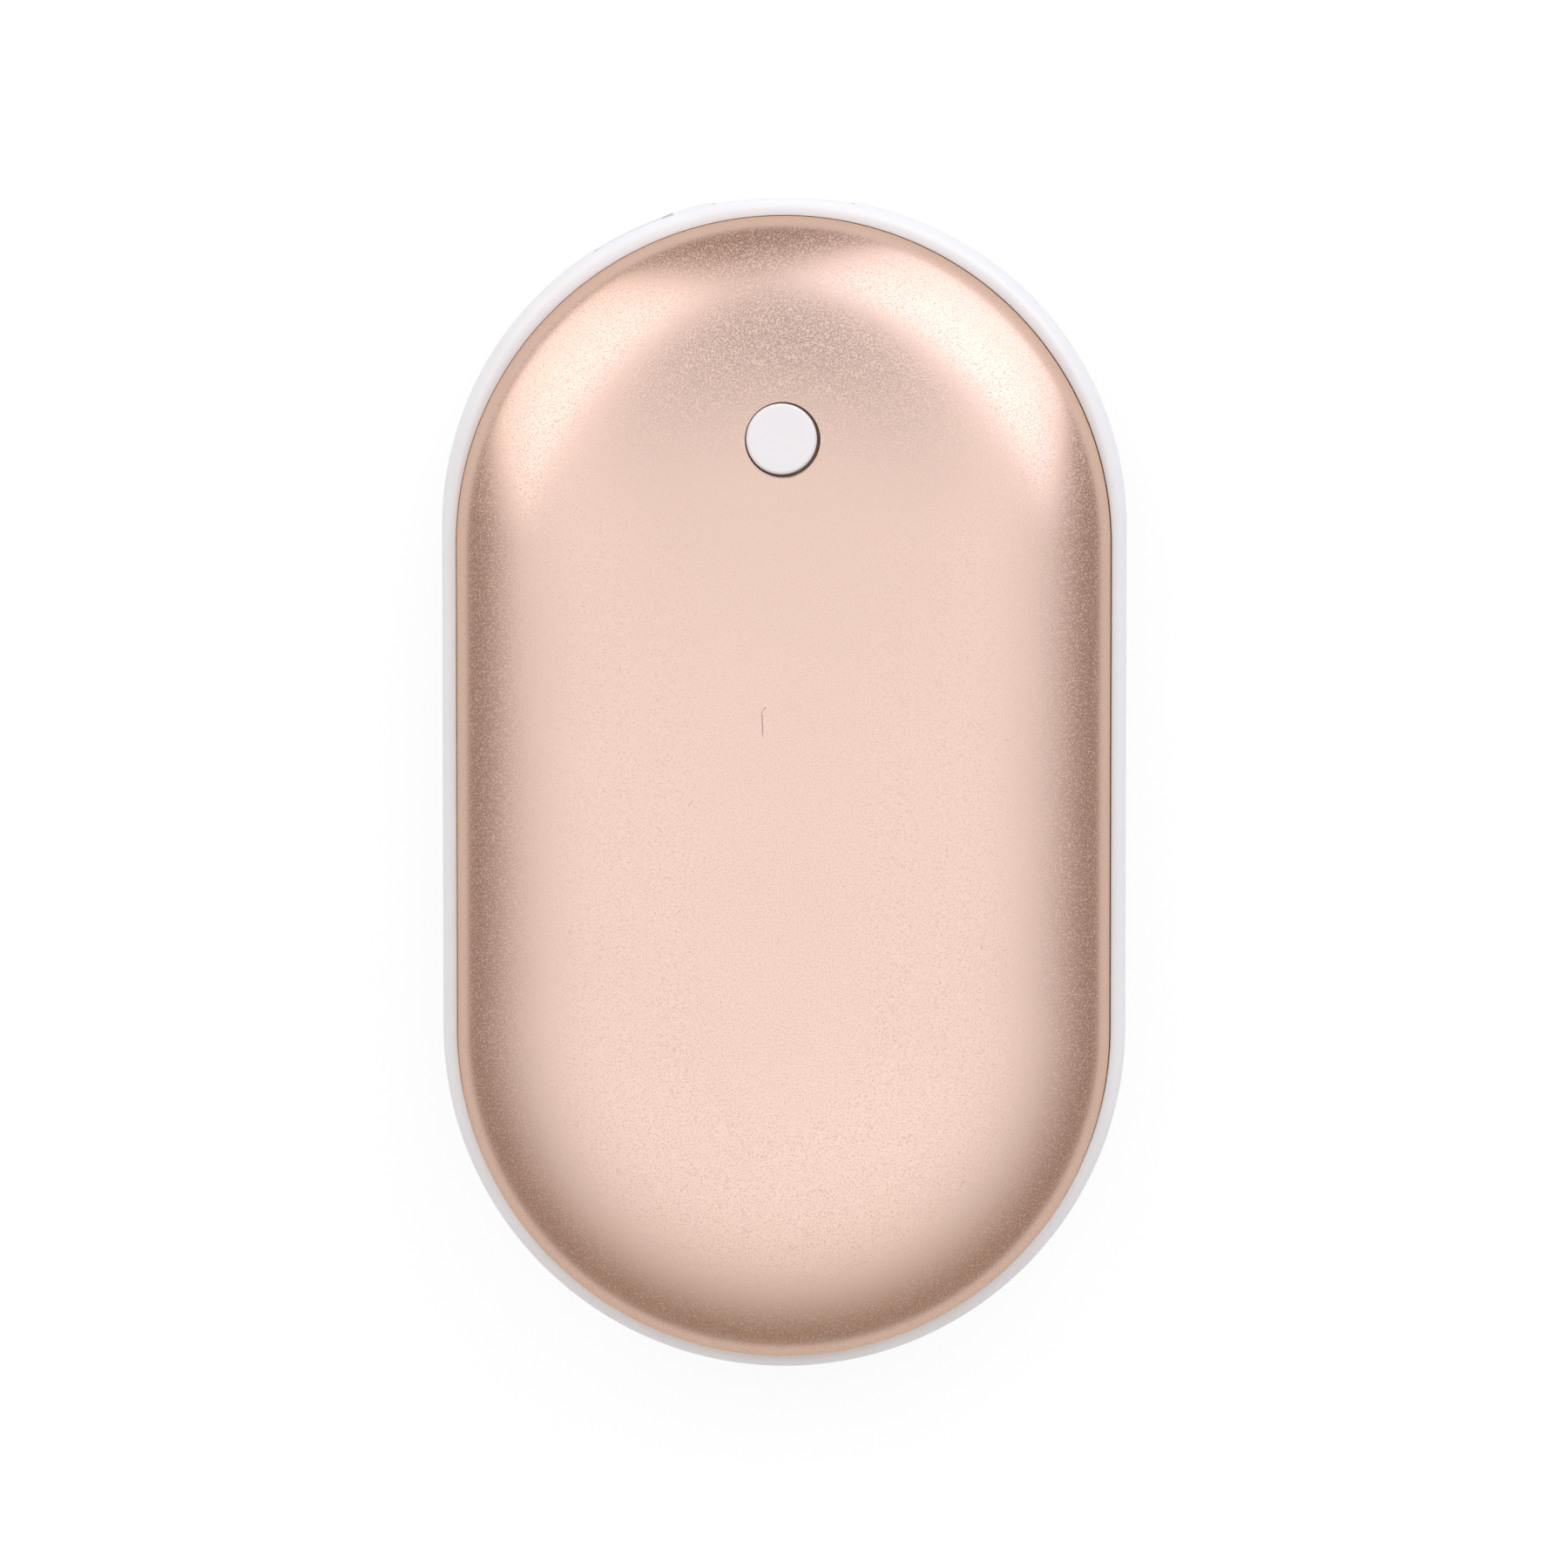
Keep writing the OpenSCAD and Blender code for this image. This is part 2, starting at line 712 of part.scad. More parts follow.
module board_screws() {
    color([0.75, 0.75, 0.78]) at_mid() for (p = board_screw_places())
        translate([p[0], p[1], board_top_z]) screw();
}

module tray_screws() {
    color([0.75, 0.75, 0.78]) at_mid() for (p = tray_screw_places())
        translate([p[0], p[1], saddle_top]) screw();
}

module usb_a_shell() {
    color([0.8, 0.8, 0.82]) at_mid() {
        difference() {
            along_y(usb_back_y, usb_mouth_y) difference() {
                usb_section_2d(0);
                usb_section_2d(-usb_wall);
            }
            for (x = [-1, 1]) translate([x * usb_w * usb_spring_share, usb_mouth_y - usb_spring_in, -usb_h])
                linear_extrude(2 * usb_h) spring_slit_2d();
        }
        for (x = [-1, 1], share = usb_tab_shares)
            translate([x * (usb_w - usb_wall) / 2, usb_back_y + share * usb_l, 0])
                block([usb_wall, usb_tab_w, board_top_z + usb_tab_out]);
    }
}

// The slit round three sides of a contact spring in the socket's wide walls
module spring_slit_2d() {
    difference() {
        translate([-usb_spring_w / 2 - usb_slit, -usb_spring_l - usb_slit])
            square([usb_spring_w + 2 * usb_slit, usb_spring_l + usb_slit]);
        translate([-usb_spring_w / 2, -usb_spring_l]) square([usb_spring_w, usb_spring_l + over]);
    }
}

module usb_contact_strips(extra) {
    y0 = usb_back_y - usb_contact_t - extra;
    y1 = usb_mouth_y - tongue_in - usb_contact_in;
    for (share = usb_contact_shares)
        translate([share * usb_contact_pitch - usb_contact_w / 2, y0, tongue_z])
            cube([usb_contact_w, y1 - y0, usb_contact_t]);
}

module usb_a_insulator() {
    color([0.93, 0.93, 0.93]) at_mid() difference() {
        union() {
            along_y(usb_back_y, usb_back_y + usb_block_l) usb_section_2d(-usb_wall - seat_gap);
            translate([-tongue_w / 2, usb_back_y, tongue_z - tongue_h])
                cube([tongue_w, usb_l - tongue_in, tongue_h]);
        }
        usb_contact_strips(over);
    }
}

module usb_a_contacts() {
    color([0.9, 0.75, 0.4]) at_mid() {
        usb_contact_strips(0);
        for (share = usb_contact_shares)
            translate([share * usb_contact_pitch, usb_back_y - usb_contact_t / 2, tongue_z])
                block([usb_tail_w, usb_contact_t, board_top_z + usb_tab_out - tongue_z]);
    }
}

module micro_usb_shell() {
    color([0.8, 0.8, 0.82]) at_mid() at_micro() along_y(-micro_l, 0) difference() {
        micro_section_2d(0);
        micro_section_2d(-micro_wall);
    }
}

module micro_usb_insulator() {
    color([0.12, 0.12, 0.13]) at_mid() at_micro() {
        along_y(-micro_l, micro_block_l - micro_l) micro_section_2d(-micro_wall - seat_gap);
        translate([-micro_tongue_w / 2, -micro_l, 0])
            cube([micro_tongue_w, micro_l - micro_tongue_in, micro_tongue_h]);
    }
}

module micro_usb_contacts() {
    color([0.9, 0.75, 0.4]) at_mid() at_micro() for (i = [0:micro_contacts - 1])
        translate([(i - (micro_contacts - 1) / 2) * micro_pitch - micro_contact_w / 2,
            micro_block_l - micro_l, -micro_contact_t])
            cube([micro_contact_w, micro_l - micro_block_l - micro_tongue_in, micro_contact_t]);
}

// Stands its children on the board at a share of the board's radius from the end centre
module on_board(share) {
    at_mid() translate([share[0] * board_r, end_y + share[1] * board_r, board_top_z]) children();
}

module controller_chip() {
    color([0.1, 0.1, 0.11]) on_board(chip_share) {
        block(chip_size);
        for (s = [-1, 1], i = [0:chip_pins - 1])
            translate([(i - (chip_pins - 1) / 2) * chip_pitch, s * (chip_size[1] + pin_size[1]) / 2, 0])
                block(pin_size);
    }
}

module power_inductor() {
    color([0.3, 0.3, 0.32]) on_board(coil_share) {
        for (z = [0, coil_size[2] - coil_cap_t]) translate([0, 0, z])
            linear_extrude(coil_cap_t) rounded_rect_2d(coil_size[0], coil_size[1], coil_corner);
        cylinder(r = coil_size[0] * coil_core_share, h = coil_size[2]);
    }
}

module heater_mosfets() {
    color([0.1, 0.1, 0.11]) for (share = fet_shares) on_board(share) block(fet_size);
}

module board_passives() {
    color([0.65, 0.5, 0.35]) for (share = passive_shares) on_board(share) block(passive_size);
}

module indicator_leds() {
    color([0.95, 0.95, 0.85]) at_button() for (s = [-1, 1])
        translate([s * led_reach, 0, board_top_z]) block(led_size);
}

module heater_sockets() {
    color([0.94, 0.93, 0.9]) at_mid() for (s = [-1, 1]) translate([s * socket_x, socket_y, board_top_z])
        difference() {
            translate([-socket_size[0] / 2, 0, 0]) cube(socket_size);
            translate([-socket_size[0] / 2 + socket_wall, -over, socket_wall])
                cube([plug_w + 2 * plug_play, plug_l - plug_out + over, plug_h + 2 * plug_play]);
        }
}

module heater_plugs() {
    color([0.97, 0.96, 0.93]) at_mid() for (s = [-1, 1])
        translate([s * socket_x - plug_w / 2, plug_y, plug_z - plug_h / 2])
            cube([plug_w, plug_l - seat_gap, plug_h]);
}

// Stands its children on the cell's flat end at x, with local Z along the cell
module at_cell(x) {
    at_mid() translate([x, cell_y0, 0]) rotate([-90, 0, 0]) children();
}

module cell(x) {
    at_cell(x) rotate_extrude() polygon([
        [0, 0], [cell_r - cell_edge, 0], [cell_r, cell_edge],
        [cell_r, can_l - groove_y - groove_w / 2], [cell_r - groove_d, can_l - groove_y],
        [cell_r, can_l - groove_y + groove_w / 2], [cell_r, can_l - crimp_h], [crimp_r, can_l],
        [crimp_in_r, can_l], [crimp_in_r, can_l - cap_well], [cap_r, can_l - cap_well],
        [cap_r, cell_l], [0, cell_l]
    ]);
}

module cell_left() {
    color([0.75, 0.75, 0.77]) cell(-cell_x);
}

module cell_right() {
    color([0.75, 0.75, 0.77]) cell(cell_x);
}

module cell_wraps() {
    color([0.2, 0.45, 0.75]) for (s = [-1, 1]) at_cell(s * cell_x) translate([0, 0, cell_edge]) difference() {
        cylinder(r = wrap_r, h = can_l - cell_edge - crimp_h);
        translate([0, 0, -over]) cylinder(r = cell_r + wrap_play, h = can_l + over);
    }
}

module insulator_rings() {
    color([0.9, 0.9, 0.85]) for (s = [-1, 1]) at_cell(s * cell_x) translate([0, 0, can_l]) difference() {
        cylinder(r = crimp_r, h = ring_t);
        translate([0, 0, -over]) cylinder(r = ring_bore_r, h = ring_t + 2 * over);
    }
}

// A nickel strip over both cell ends, with a weld slit over each
module strip_2d() {
    difference() {
        square([2 * (cell_x + strip_reach), strip_w], center = true);
        for (s = [-1, 1]) translate([s * cell_x, 0])
            square([strip_slit, strip_w * strip_slit_share], center = true);
    }
}

module positive_strip() {
    color([0.82, 0.82, 0.8]) at_mid() along_y(cell_y1, cell_y1 + strip_t) {
        strip_2d();
        translate([pad_x - strip_tab_w / 2, strip_w / 2 - strip_t])
            square([strip_tab_w, strip_tab_h + strip_t]);
    }
}

module negative_strip() {
    color([0.82, 0.82, 0.8]) at_mid() along_y(cell_y0 - strip_t, cell_y0) strip_2d();
}

module saddle() {
    along_y(-saddle_t / 2, saddle_t / 2) difference() {
        translate([-rail_x - rail_t, -wrap_r - saddle_web])
            square([2 * (rail_x + rail_t), wrap_r + saddle_web + saddle_top]);
        for (s = [-1, 1]) translate([s * cell_x, 0]) circle(wrap_r + saddle_play);
    }
}

// A screw ear on the outside of the tray's rail
module ear(place) {
    inner_x = rail_x + rail_t / 2;
    translate([place[0], place[1], ear_z]) cylinder(r = boss_r, h = ear_t);
    translate([place[0] > 0 ? inner_x : place[0], place[1] - ear_w / 2, ear_z])
        cube([tray_boss_x - inner_x, ear_w, ear_t]);
}

module cell_tray() {
    saddle_ys = [for (share = saddle_shares) cell_y0 + cell_l * share];
    stop_y = cell_y0 - strip_t - stop_gap - rail_t;
    base_z = -wrap_r - saddle_web;
    color([0.3, 0.3, 0.33]) at_mid() difference() {
        union() {
            for (y = saddle_ys) translate([0, y, 0]) saddle();
            for (s = [-1, 1])
                translate([s * (rail_x + rail_t / 2) - rail_t / 2, saddle_ys[0], saddle_top - rail_h])
                    cube([rail_t, saddle_ys[1] - saddle_ys[0], rail_h]);
            translate([-spine_w / 2, stop_y, base_z + spine_rise])
                cube([spine_w, saddle_ys[1] - stop_y, spine_h]);
            translate([-cell_x, stop_y, base_z]) cube([2 * cell_x, rail_t, saddle_top - base_z]);
            for (p = tray_screw_places()) ear(p);
        }
        for (p = tray_screw_places()) translate([p[0], p[1], ear_z - over])
            cylinder(r = screw_r + play, h = ear_t + 2 * over);
    }
}

module foam_strips() {
    foam_w = film_r * foam_out_share - foam_in;
    for (s = [-1, 1]) translate([s * (foam_in + foam_w / 2), (foam_y0 + foam_y1) / 2, foam_z0])
        linear_extrude(foam_z1 - foam_z0) rounded_rect_2d(foam_w, foam_y1 - foam_y0, foam_corner);
}

module front_foam() {
    color([0.25, 0.25, 0.27]) on_side(true) foam_strips();
}

module rear_foam() {
    color([0.25, 0.25, 0.27]) on_side(false) foam_strips();
}

module heater_film() {
    translate([0, 0, film_z]) linear_extrude(film_t) intersection() {
        stadium_2d(film_r);
        translate([-film_r, -end_y - film_r]) square([2 * film_r, film_y1 + end_y + film_r]);
    }
}

// One foil track that runs to and fro across the film, with both tails at the button's end
module heater_element() {
    pitch = (element_y1 - element_y0) / element_runs;
    track = pitch * element_fill_share;
    left = -element_w / 2;
    run_w = element_w - tail_w - pitch + track;
    tail_y1 = film_y1 - play;
    translate([0, 0, element_z]) linear_extrude(element_t) {
        for (i = [0:element_runs - 1]) translate([left, element_y0 + i * pitch]) square([run_w, track]);
        for (i = [0:element_runs - 2])
            translate([left + (i % 2 == 0 ? 0 : run_w - track), element_y0 + i * pitch])
                square([track, pitch + track]);
        translate([left + run_w - track, element_y0]) square([element_w - run_w + track, track]);
        translate([return_x - tail_w / 2, element_y0]) square([tail_w, tail_y1 - element_y0]);
        translate([tail_x - tail_w / 2, element_y1 - pitch]) square([tail_w, tail_y1 - element_y1 + pitch]);
    }
}

module front_heater_film() {
    color([0.75, 0.5, 0.15]) on_side(true) heater_film();
}

module rear_heater_film() {
    color([0.75, 0.5, 0.15]) on_side(false) heater_film();
}

module front_heater_element() {
    color([0.72, 0.68, 0.62]) at_mid() heater_element();
}

// Turned about Y, so its tails lie on the left, under their own plug
module rear_heater_element() {
    color([0.72, 0.68, 0.62]) at_mid() rotate([0, 180, 0]) heater_element();
}

module thermal_fuse() {
    color([0.85, 0.8, 0.65]) at_mid() translate([0, fuse_y, fuse_r - sense_z]) rotate([90, 0, 0]) {
        cylinder(r = fuse_r, h = fuse_l, center = true);
        cylinder(r = (fuse_r + fuse_lead_r) / 2, h = fuse_l + 2 * fuse_neck, center = true);
        cylinder(r = fuse_lead_r, h = fuse_l + 2 * fuse_lead_l, center = true);
    }
}

module thermistor() {
    color([0.15, 0.15, 0.15]) at_mid() translate([0, bead_y, sense_z - bead_r]) rotate([90, 0, 0])
        cylinder(r = bead_r, h = bead_l, center = true);
}

module battery_lead_red() {
    y0 = cell_y1 + strip_t + seat_gap + lead_r;
    pad_z = board_top_z + play + lead_r;
    color([0.8, 0.12, 0.1]) at_mid() tube([
        [pad_x, y0, board_z + play], [pad_x, y0, pad_z + lead_r], [pad_x, y0 + lead_r, pad_z + 2 * lead_r],
        [pad_x, board_y + 2 * lead_r, pad_z], [pad_x, board_y + 4 * lead_r, pad_z]
    ], lead_r);
}

module battery_lead_black() {
    y0 = cell_y0 - strip_t - seat_gap - lead_r;
    y1 = cell_y1 + strip_t + seat_gap + lead_r;
    pad_z = board_top_z + play + lead_r;
    color([0.1, 0.1, 0.1]) at_mid() tube([
        [0, y0, saddle_top + 2 * play], [0, y0, valley_z], [0, y0 + 3 * lead_r, valley_z],
        [0, y1 - 4 * lead_r, valley_z], [0, y1, pad_z + lead_r / 2],
        [-pad_x + 2 * lead_r, y1, pad_z + lead_r / 2], [-pad_x, board_y + lead_r, pad_z + lead_r / 2],
        [-pad_x, board_y + 2 * lead_r, pad_z], [-pad_x, board_y + 4 * lead_r, pad_z]
    ], lead_r);
}

module front_heater_leads() {
    r = heater_lead_r;
    pad_z = element_z - seat_gap - r;
    pad_y = film_y1 - 4 * r;
    turn_y = cell_y1 + 2 * r;
    near_x = socket_x - pin_gap / 2;
    far_x = socket_x + pin_gap / 2;
    color([0.9, 0.9, 0.88]) at_mid() {
        tube([
            [tail_x, pad_y, pad_z], [tail_x, film_y1 - r, pad_z], [tail_x + 4 * r, turn_y, pad_z - r],
            [near_x, turn_y, pad_z - 2 * r], [near_x, turn_y + r / 2, plug_z],
            [near_x, plug_y - seat_gap, plug_z]
        ], r);
        tube([
            [return_x, pad_y, pad_z], [return_x, film_y1 - r, pad_z], [far_x, turn_y, pad_z - r],
            [far_x, turn_y + r / 2, plug_z], [far_x, plug_y - seat_gap, plug_z]
        ], r);
    }
}

// Both leads leave the rear film to the left, rise beside the cell and cross to the left plug
module rear_heater_leads() {
    r = heater_lead_r;
    pad_z = -element_z + seat_gap + r;
    near_y = film_y1 - r;
    far_y = near_y - 3 * r;
    turn_y = cell_y1 + 2 * r;
    over_z = plug_z + 2.6 * r;
    low_z = pad_z + 3 * r;
    bend_z = pad_z + 8 * r;
    turn_x = -side_x + side_in / 2;
    end_x = -socket_x - 2 * pin_gap;
    near_x = -socket_x - pin_gap / 2;
    far_x = -socket_x + pin_gap / 2;
    color([0.9, 0.9, 0.88]) at_mid() {
        tube([
            [-tail_x, near_y, pad_z], [-film_r, near_y, pad_z + r / 2], [-side_x + side_in, near_y, low_z],
            [-side_x, near_y, bend_z], [-side_x, near_y, plug_z - 4 * r], [turn_x, near_y + r, plug_z],
            [end_x, turn_y, plug_z], [near_x, turn_y, plug_z], [near_x, plug_y - seat_gap, plug_z]
        ], r);
        tube([
            [-return_x, far_y, pad_z], [-film_r, far_y, pad_z + r / 2], [-side_x + side_in, far_y, low_z],
            [-side_x, far_y, bend_z], [-side_x, far_y, over_z - 4 * r], [turn_x, far_y + r, over_z],
            [end_x, turn_y, over_z], [far_x, turn_y, over_z], [far_x, turn_y + 2 * r, plug_z],
            [far_x, plug_y - seat_gap, plug_z]
        ], r);
    }
}

module thermistor_leads() {
    r = sense_lead_r;
    bead_z = sense_z - bead_r;
    pad_z = board_top_z + play + r;
    turn_y = cell_y1 + 2 * lead_r;
    color([0.9, 0.9, 0.88]) at_mid() for (s = [-1, 1]) {
        dx = s * sense_pitch / 2;
        tube([
            [s * bead_r / 2, bead_y + bead_l / 2 + seat_gap, bead_z], [dx, bead_y + 4 * bead_l, bead_z],
            [sense_x + dx, cell_y1, wrap_r + r], [sense_x + dx, turn_y - lead_r, wrap_r - r],
            [sense_x + dx, turn_y, (wrap_r + pad_z) / 2], [sense_x + dx, board_y + lead_r, pad_z],
            [sense_x + dx, board_y + 2 * lead_r, pad_z]
        ], r);
    }
}

front_shell();
rear_shell();
mid_frame();
front_liner();
rear_liner();
button_cap();
switch_plunger();
switch_base();
switch_cover();
switch_dome();
switch_terminals();
circuit_board();
board_screws();
usb_a_shell();
usb_a_insulator();
usb_a_contacts();
micro_usb_shell();
micro_usb_insulator();
micro_usb_contacts();
controller_chip();
power_inductor();
heater_mosfets();
board_passives();
indicator_leds();
heater_sockets();
heater_plugs();
cell_left();
cell_right();
cell_wraps();
insulator_rings();
positive_strip();
negative_strip();
cell_tray();
tray_screws();
front_foam();
rear_foam();
front_heater_film();
rear_heater_film();
front_heater_element();
rear_heater_element();
thermal_fuse();
thermistor();
battery_lead_red();
battery_lead_black();
front_heater_leads();
rear_heater_leads();
thermistor_leads();
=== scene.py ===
import json
import math

import bmesh
import bpy
from mathutils import Matrix, Vector


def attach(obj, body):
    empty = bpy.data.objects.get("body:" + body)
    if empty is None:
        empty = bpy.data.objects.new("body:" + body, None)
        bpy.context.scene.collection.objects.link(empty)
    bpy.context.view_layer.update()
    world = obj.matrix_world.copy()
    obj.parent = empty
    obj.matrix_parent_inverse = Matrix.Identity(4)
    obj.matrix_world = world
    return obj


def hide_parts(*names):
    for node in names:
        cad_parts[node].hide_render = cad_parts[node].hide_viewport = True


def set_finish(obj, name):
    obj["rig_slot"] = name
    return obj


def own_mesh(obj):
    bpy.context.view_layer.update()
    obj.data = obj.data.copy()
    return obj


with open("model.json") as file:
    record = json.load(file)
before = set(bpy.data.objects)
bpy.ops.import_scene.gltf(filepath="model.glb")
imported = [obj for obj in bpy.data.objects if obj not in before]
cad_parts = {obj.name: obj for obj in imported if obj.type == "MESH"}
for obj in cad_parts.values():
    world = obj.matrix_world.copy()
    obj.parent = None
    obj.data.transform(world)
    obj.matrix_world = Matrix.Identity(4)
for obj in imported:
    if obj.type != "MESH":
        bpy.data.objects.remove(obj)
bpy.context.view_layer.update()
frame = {"nodes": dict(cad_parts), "record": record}

MM = 0.001
PI = math.pi
TINY = 1e-9                         # what is smaller counts as nought

# Sizes of the object in millimetres, as in the CAD model, with heights over the middle plane
MID_Z = 12.5                        # height of the middle plane over the table
END_Y = 22.0                        # centres of the two round ends
SHELL_R, SHELL_T = 29.4, 0.8
DOME_RUN, DOME_Z = 13.0, 5.8
SKIRT_Z = 3.65
FRAME_R, FRAME_IN_R = 31.2, 28.7
LIP_R, LIP_Z = 29.6, 4.4
LEDGE_Z = 3.6
FLANGE_R, FLANGE_Z = 27.9, 2.4
PILLOW = 1.5                        # how far the frame's outside bulges
SHOULDER = (1.4, 23.565, 29.8)      # the arcs of the frame's ends, each as a centre and a radius
CROWN = (0.0, 21.25, 32.5)
TIP_Y = 53.2                        # where the frame's ends are cut flat
BUTTON = (-0.1, 31.25)
BUTTON_R = 3.15
HOLE_Y = 31.204
# The hole's radius is 0.06 less than in the CAD model, for the thin dark ring of the photograph
HOLE_R = 3.33

# Edges sharper than this, in degrees, aren't smoothed, on built and on turned pieces
SHARP, TURNED_SHARP = 32, 40

# Helpers for meshes


def link_object(name, mesh):
    obj = bpy.data.objects.new(name, mesh)
    bpy.context.scene.collection.objects.link(obj)
    return obj


MERGE_M = 1e-7


def mesh_from(name, points, faces, smooth=True):
    """A mesh object from points in millimetres, with its face normals turned outwards."""
    mesh = bpy.data.meshes.new(name)
    mesh.from_pydata([(x * MM, y * MM, (z + MID_Z) * MM) for x, y, z in points], [], faces)
    bm = bmesh.new()
    bm.from_mesh(mesh)
    bmesh.ops.remove_doubles(bm, verts=bm.verts, dist=MERGE_M)
    bmesh.ops.recalc_face_normals(bm, faces=bm.faces)
    bm.to_mesh(mesh)
    bm.free()
    for polygon in mesh.polygons:
        polygon.use_smooth = smooth
    return link_object(name, mesh)


def sharpen(obj, degrees):
    """Marks edges sharper than an angle, so that smooth shading stops at them."""
    bm = bmesh.new()
    bm.from_mesh(obj.data)
    limit = math.radians(degrees)
    for edge in bm.edges:
        edge.smooth = len(edge.link_faces) == 2 and edge.calc_face_angle(0) < limit
    bm.to_mesh(obj.data)
    bm.free()


def stadium_stations(arc_n=96, side_n=44):
    """Stations round the outline that the shells share: a centre and an outward direction."""
    out = []
    for end in (1, -1):
        for i in range(arc_n + 1):
            a = (0 if end > 0 else PI) + PI * i / arc_n
            out.append(((0.0, end * END_Y), (math.cos(a), math.sin(a))))
        for i in range(1, side_n):
            out.append(((0.0, end * (END_Y - 2 * END_Y * i / side_n)), (-end, 0.0)))
    return out


def ring_at(stations, r, z):
    """Points at one distance and height all round the body."""
    return [(c[0] + r * d[0], c[1] + r * d[1], z) for c, d in stations]


def skin(rings, closed_profile=False):
    """Points and quads that join equal rings one after the other."""
    n = len(rings[0])
    points = [p for ring in rings for p in ring]
    faces = []
    last = len(rings) if closed_profile else len(rings) - 1
    for k in range(last):
        a, b = k * n, ((k + 1) % len(rings)) * n
        for i in range(n):
            j = (i + 1) % n
            faces.append((a + i, a + j, b + j, b + i))
    return points, faces


# Shells
# The outside is one smooth pressing, nearly flat in the middle: a higher power makes it flatter
CROWN_POWER = 3.6
PRESS_H = 6.1
FLAT_STEPS, CURVE_STEPS, INNER_STEPS = 20, 48, 12


def outer_height(r):
    """Height of the shell's outside, at a distance from the body's middle line."""
    return MID_Z - PRESS_H + PRESS_H * math.sqrt(max(0.0, 1 - (r / SHELL_R) ** CROWN_POWER))


def inner_height(r):
    """Height of the shell's inside, which keeps the CAD model's flat and arc."""
    c = max(0.0, (r - SHELL_R + DOME_RUN) / (DOME_RUN - SHELL_T))
    return DOME_Z + (MID_Z - DOME_Z - SHELL_T) * math.sqrt(max(0.0, 1 - c * c))


def shell_profile():
    """Radii and heights from the middle of the face to the skirt's edge, outside then inside."""
    first_r, chamfer = 1.0, 0.06
    flat = SHELL_R - DOME_RUN
    outer = []
    for i in range(FLAT_STEPS + 1):
        r = first_r + (flat - first_r) * i / FLAT_STEPS
        outer.append((r, outer_height(r)))
    for i in range(1, CURVE_STEPS + 1):
        r = flat + DOME_RUN * math.sin(PI / 2 * i / CURVE_STEPS)
        outer.append((r, outer_height(r)))
    outer += [(SHELL_R, 0.5 * (MID_Z - PRESS_H + SKIRT_Z)), (SHELL_R, SKIRT_Z + chamfer)]
    outer += [(SHELL_R - chamfer, SKIRT_Z), (SHELL_R - SHELL_T, SKIRT_Z)]
    inner = [(SHELL_R - SHELL_T, DOME_Z)]
    for i in range(INNER_STEPS - 1, -1, -1):
        r = flat + (DOME_RUN - SHELL_T) * math.sin(PI / 2 * i / INNER_STEPS)
        inner.append((r, inner_height(r)))
    return outer, inner


def make_shell(name, node, front):
    outer, inner = shell_profile()
    stations = stadium_stations()
    rings = [ring_at(stations, r, z) for r, z in outer + inner]
    points, faces = skin(rings)
    n = len(stations)
    # both middle fields are flat strips between the two sides of their innermost ring
    faces.append(tuple(range(n)))
    faces.append(tuple(len(points) - n + i for i in range(n)))
    if not front:
        points = [(x, y, -z) for x, y, z in points]
    shell = mesh_from(name, points, faces)
    if front:
        shell = cut_hole(shell)
    sharpen(shell, SHARP)
    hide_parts(node)
    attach(shell, "body")
    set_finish(shell, "anodised_aluminium")
    return shell


def lathe(name, profile, centre, steps=96):
    """A closed solid turned about an upright axis, from the radii and heights of its profile."""
    ring = [(math.cos(2 * PI * i / steps), math.sin(2 * PI * i / steps)) for i in range(steps)]
    points, faces, rows = [], [], []
    for r, z in profile:
        if r < TINY:
            rows.append([len(points)])
            points.append((centre[0], centre[1], z))
        else:
            rows.append(list(range(len(points), len(points) + steps)))
            points += [(centre[0] + r * c, centre[1] + r * s, z) for c, s in ring]
    for a, b in zip(rows, rows[1:]):
        for i in range(steps):
            j = (i + 1) % steps
            if len(a) == 1:
                faces.append((a[0], b[i], b[j]))
            elif len(b) == 1:
                faces.append((a[i], a[j], b[0]))
            else:
                faces.append((a[i], a[j], b[j], b[i]))
    return mesh_from(name, points, faces)


def carve(obj, cutter, operation="DIFFERENCE"):
    """Applies an exact boolean and removes the cutter."""
    modifier = obj.modifiers.new("cut", "BOOLEAN")
    modifier.operation = operation
    modifier.solver = "EXACT"
    modifier.object = cutter
    bpy.context.view_layer.update()
    depsgraph = bpy.context.evaluated_depsgraph_get()
    result = bpy.data.meshes.new_from_object(obj.evaluated_get(depsgraph))
    obj.modifiers.clear()
    old = obj.data
    result.name = obj.name
    obj.data = result
    bpy.data.meshes.remove(old)
    used = cutter.data
    bpy.data.objects.remove(cutter)
    bpy.data.meshes.remove(used)
    return obj


def cut_hole(shell):
    """The button's hole, with the edge turned in by a small radius."""
    round_r, over, under, steps = 0.09, 1.0, 2.0, 6
    top = outer_height(HOLE_Y - END_Y)
    profile = [(0, top + over), (HOLE_R + round_r + over, top + over)]
    for i in range(steps + 1):
        a = PI / 2 * i / steps
        profile.append((HOLE_R + round_r * (1 - math.sin(a)), top - round_r * (1 - math.cos(a))))
    profile += [(HOLE_R, top - under), (0, top - under)]
    return carve(shell, lathe("cutter", profile, (0.0, HOLE_Y)))


front_shell = make_shell("front_shell_pressing", "front_shell", True)
rear_shell = make_shell("rear_shell_pressing", "rear_shell", False)

# Frame
SHOULDER_A = math.atan2(SHOULDER[1] - CROWN[1], SHOULDER[0])

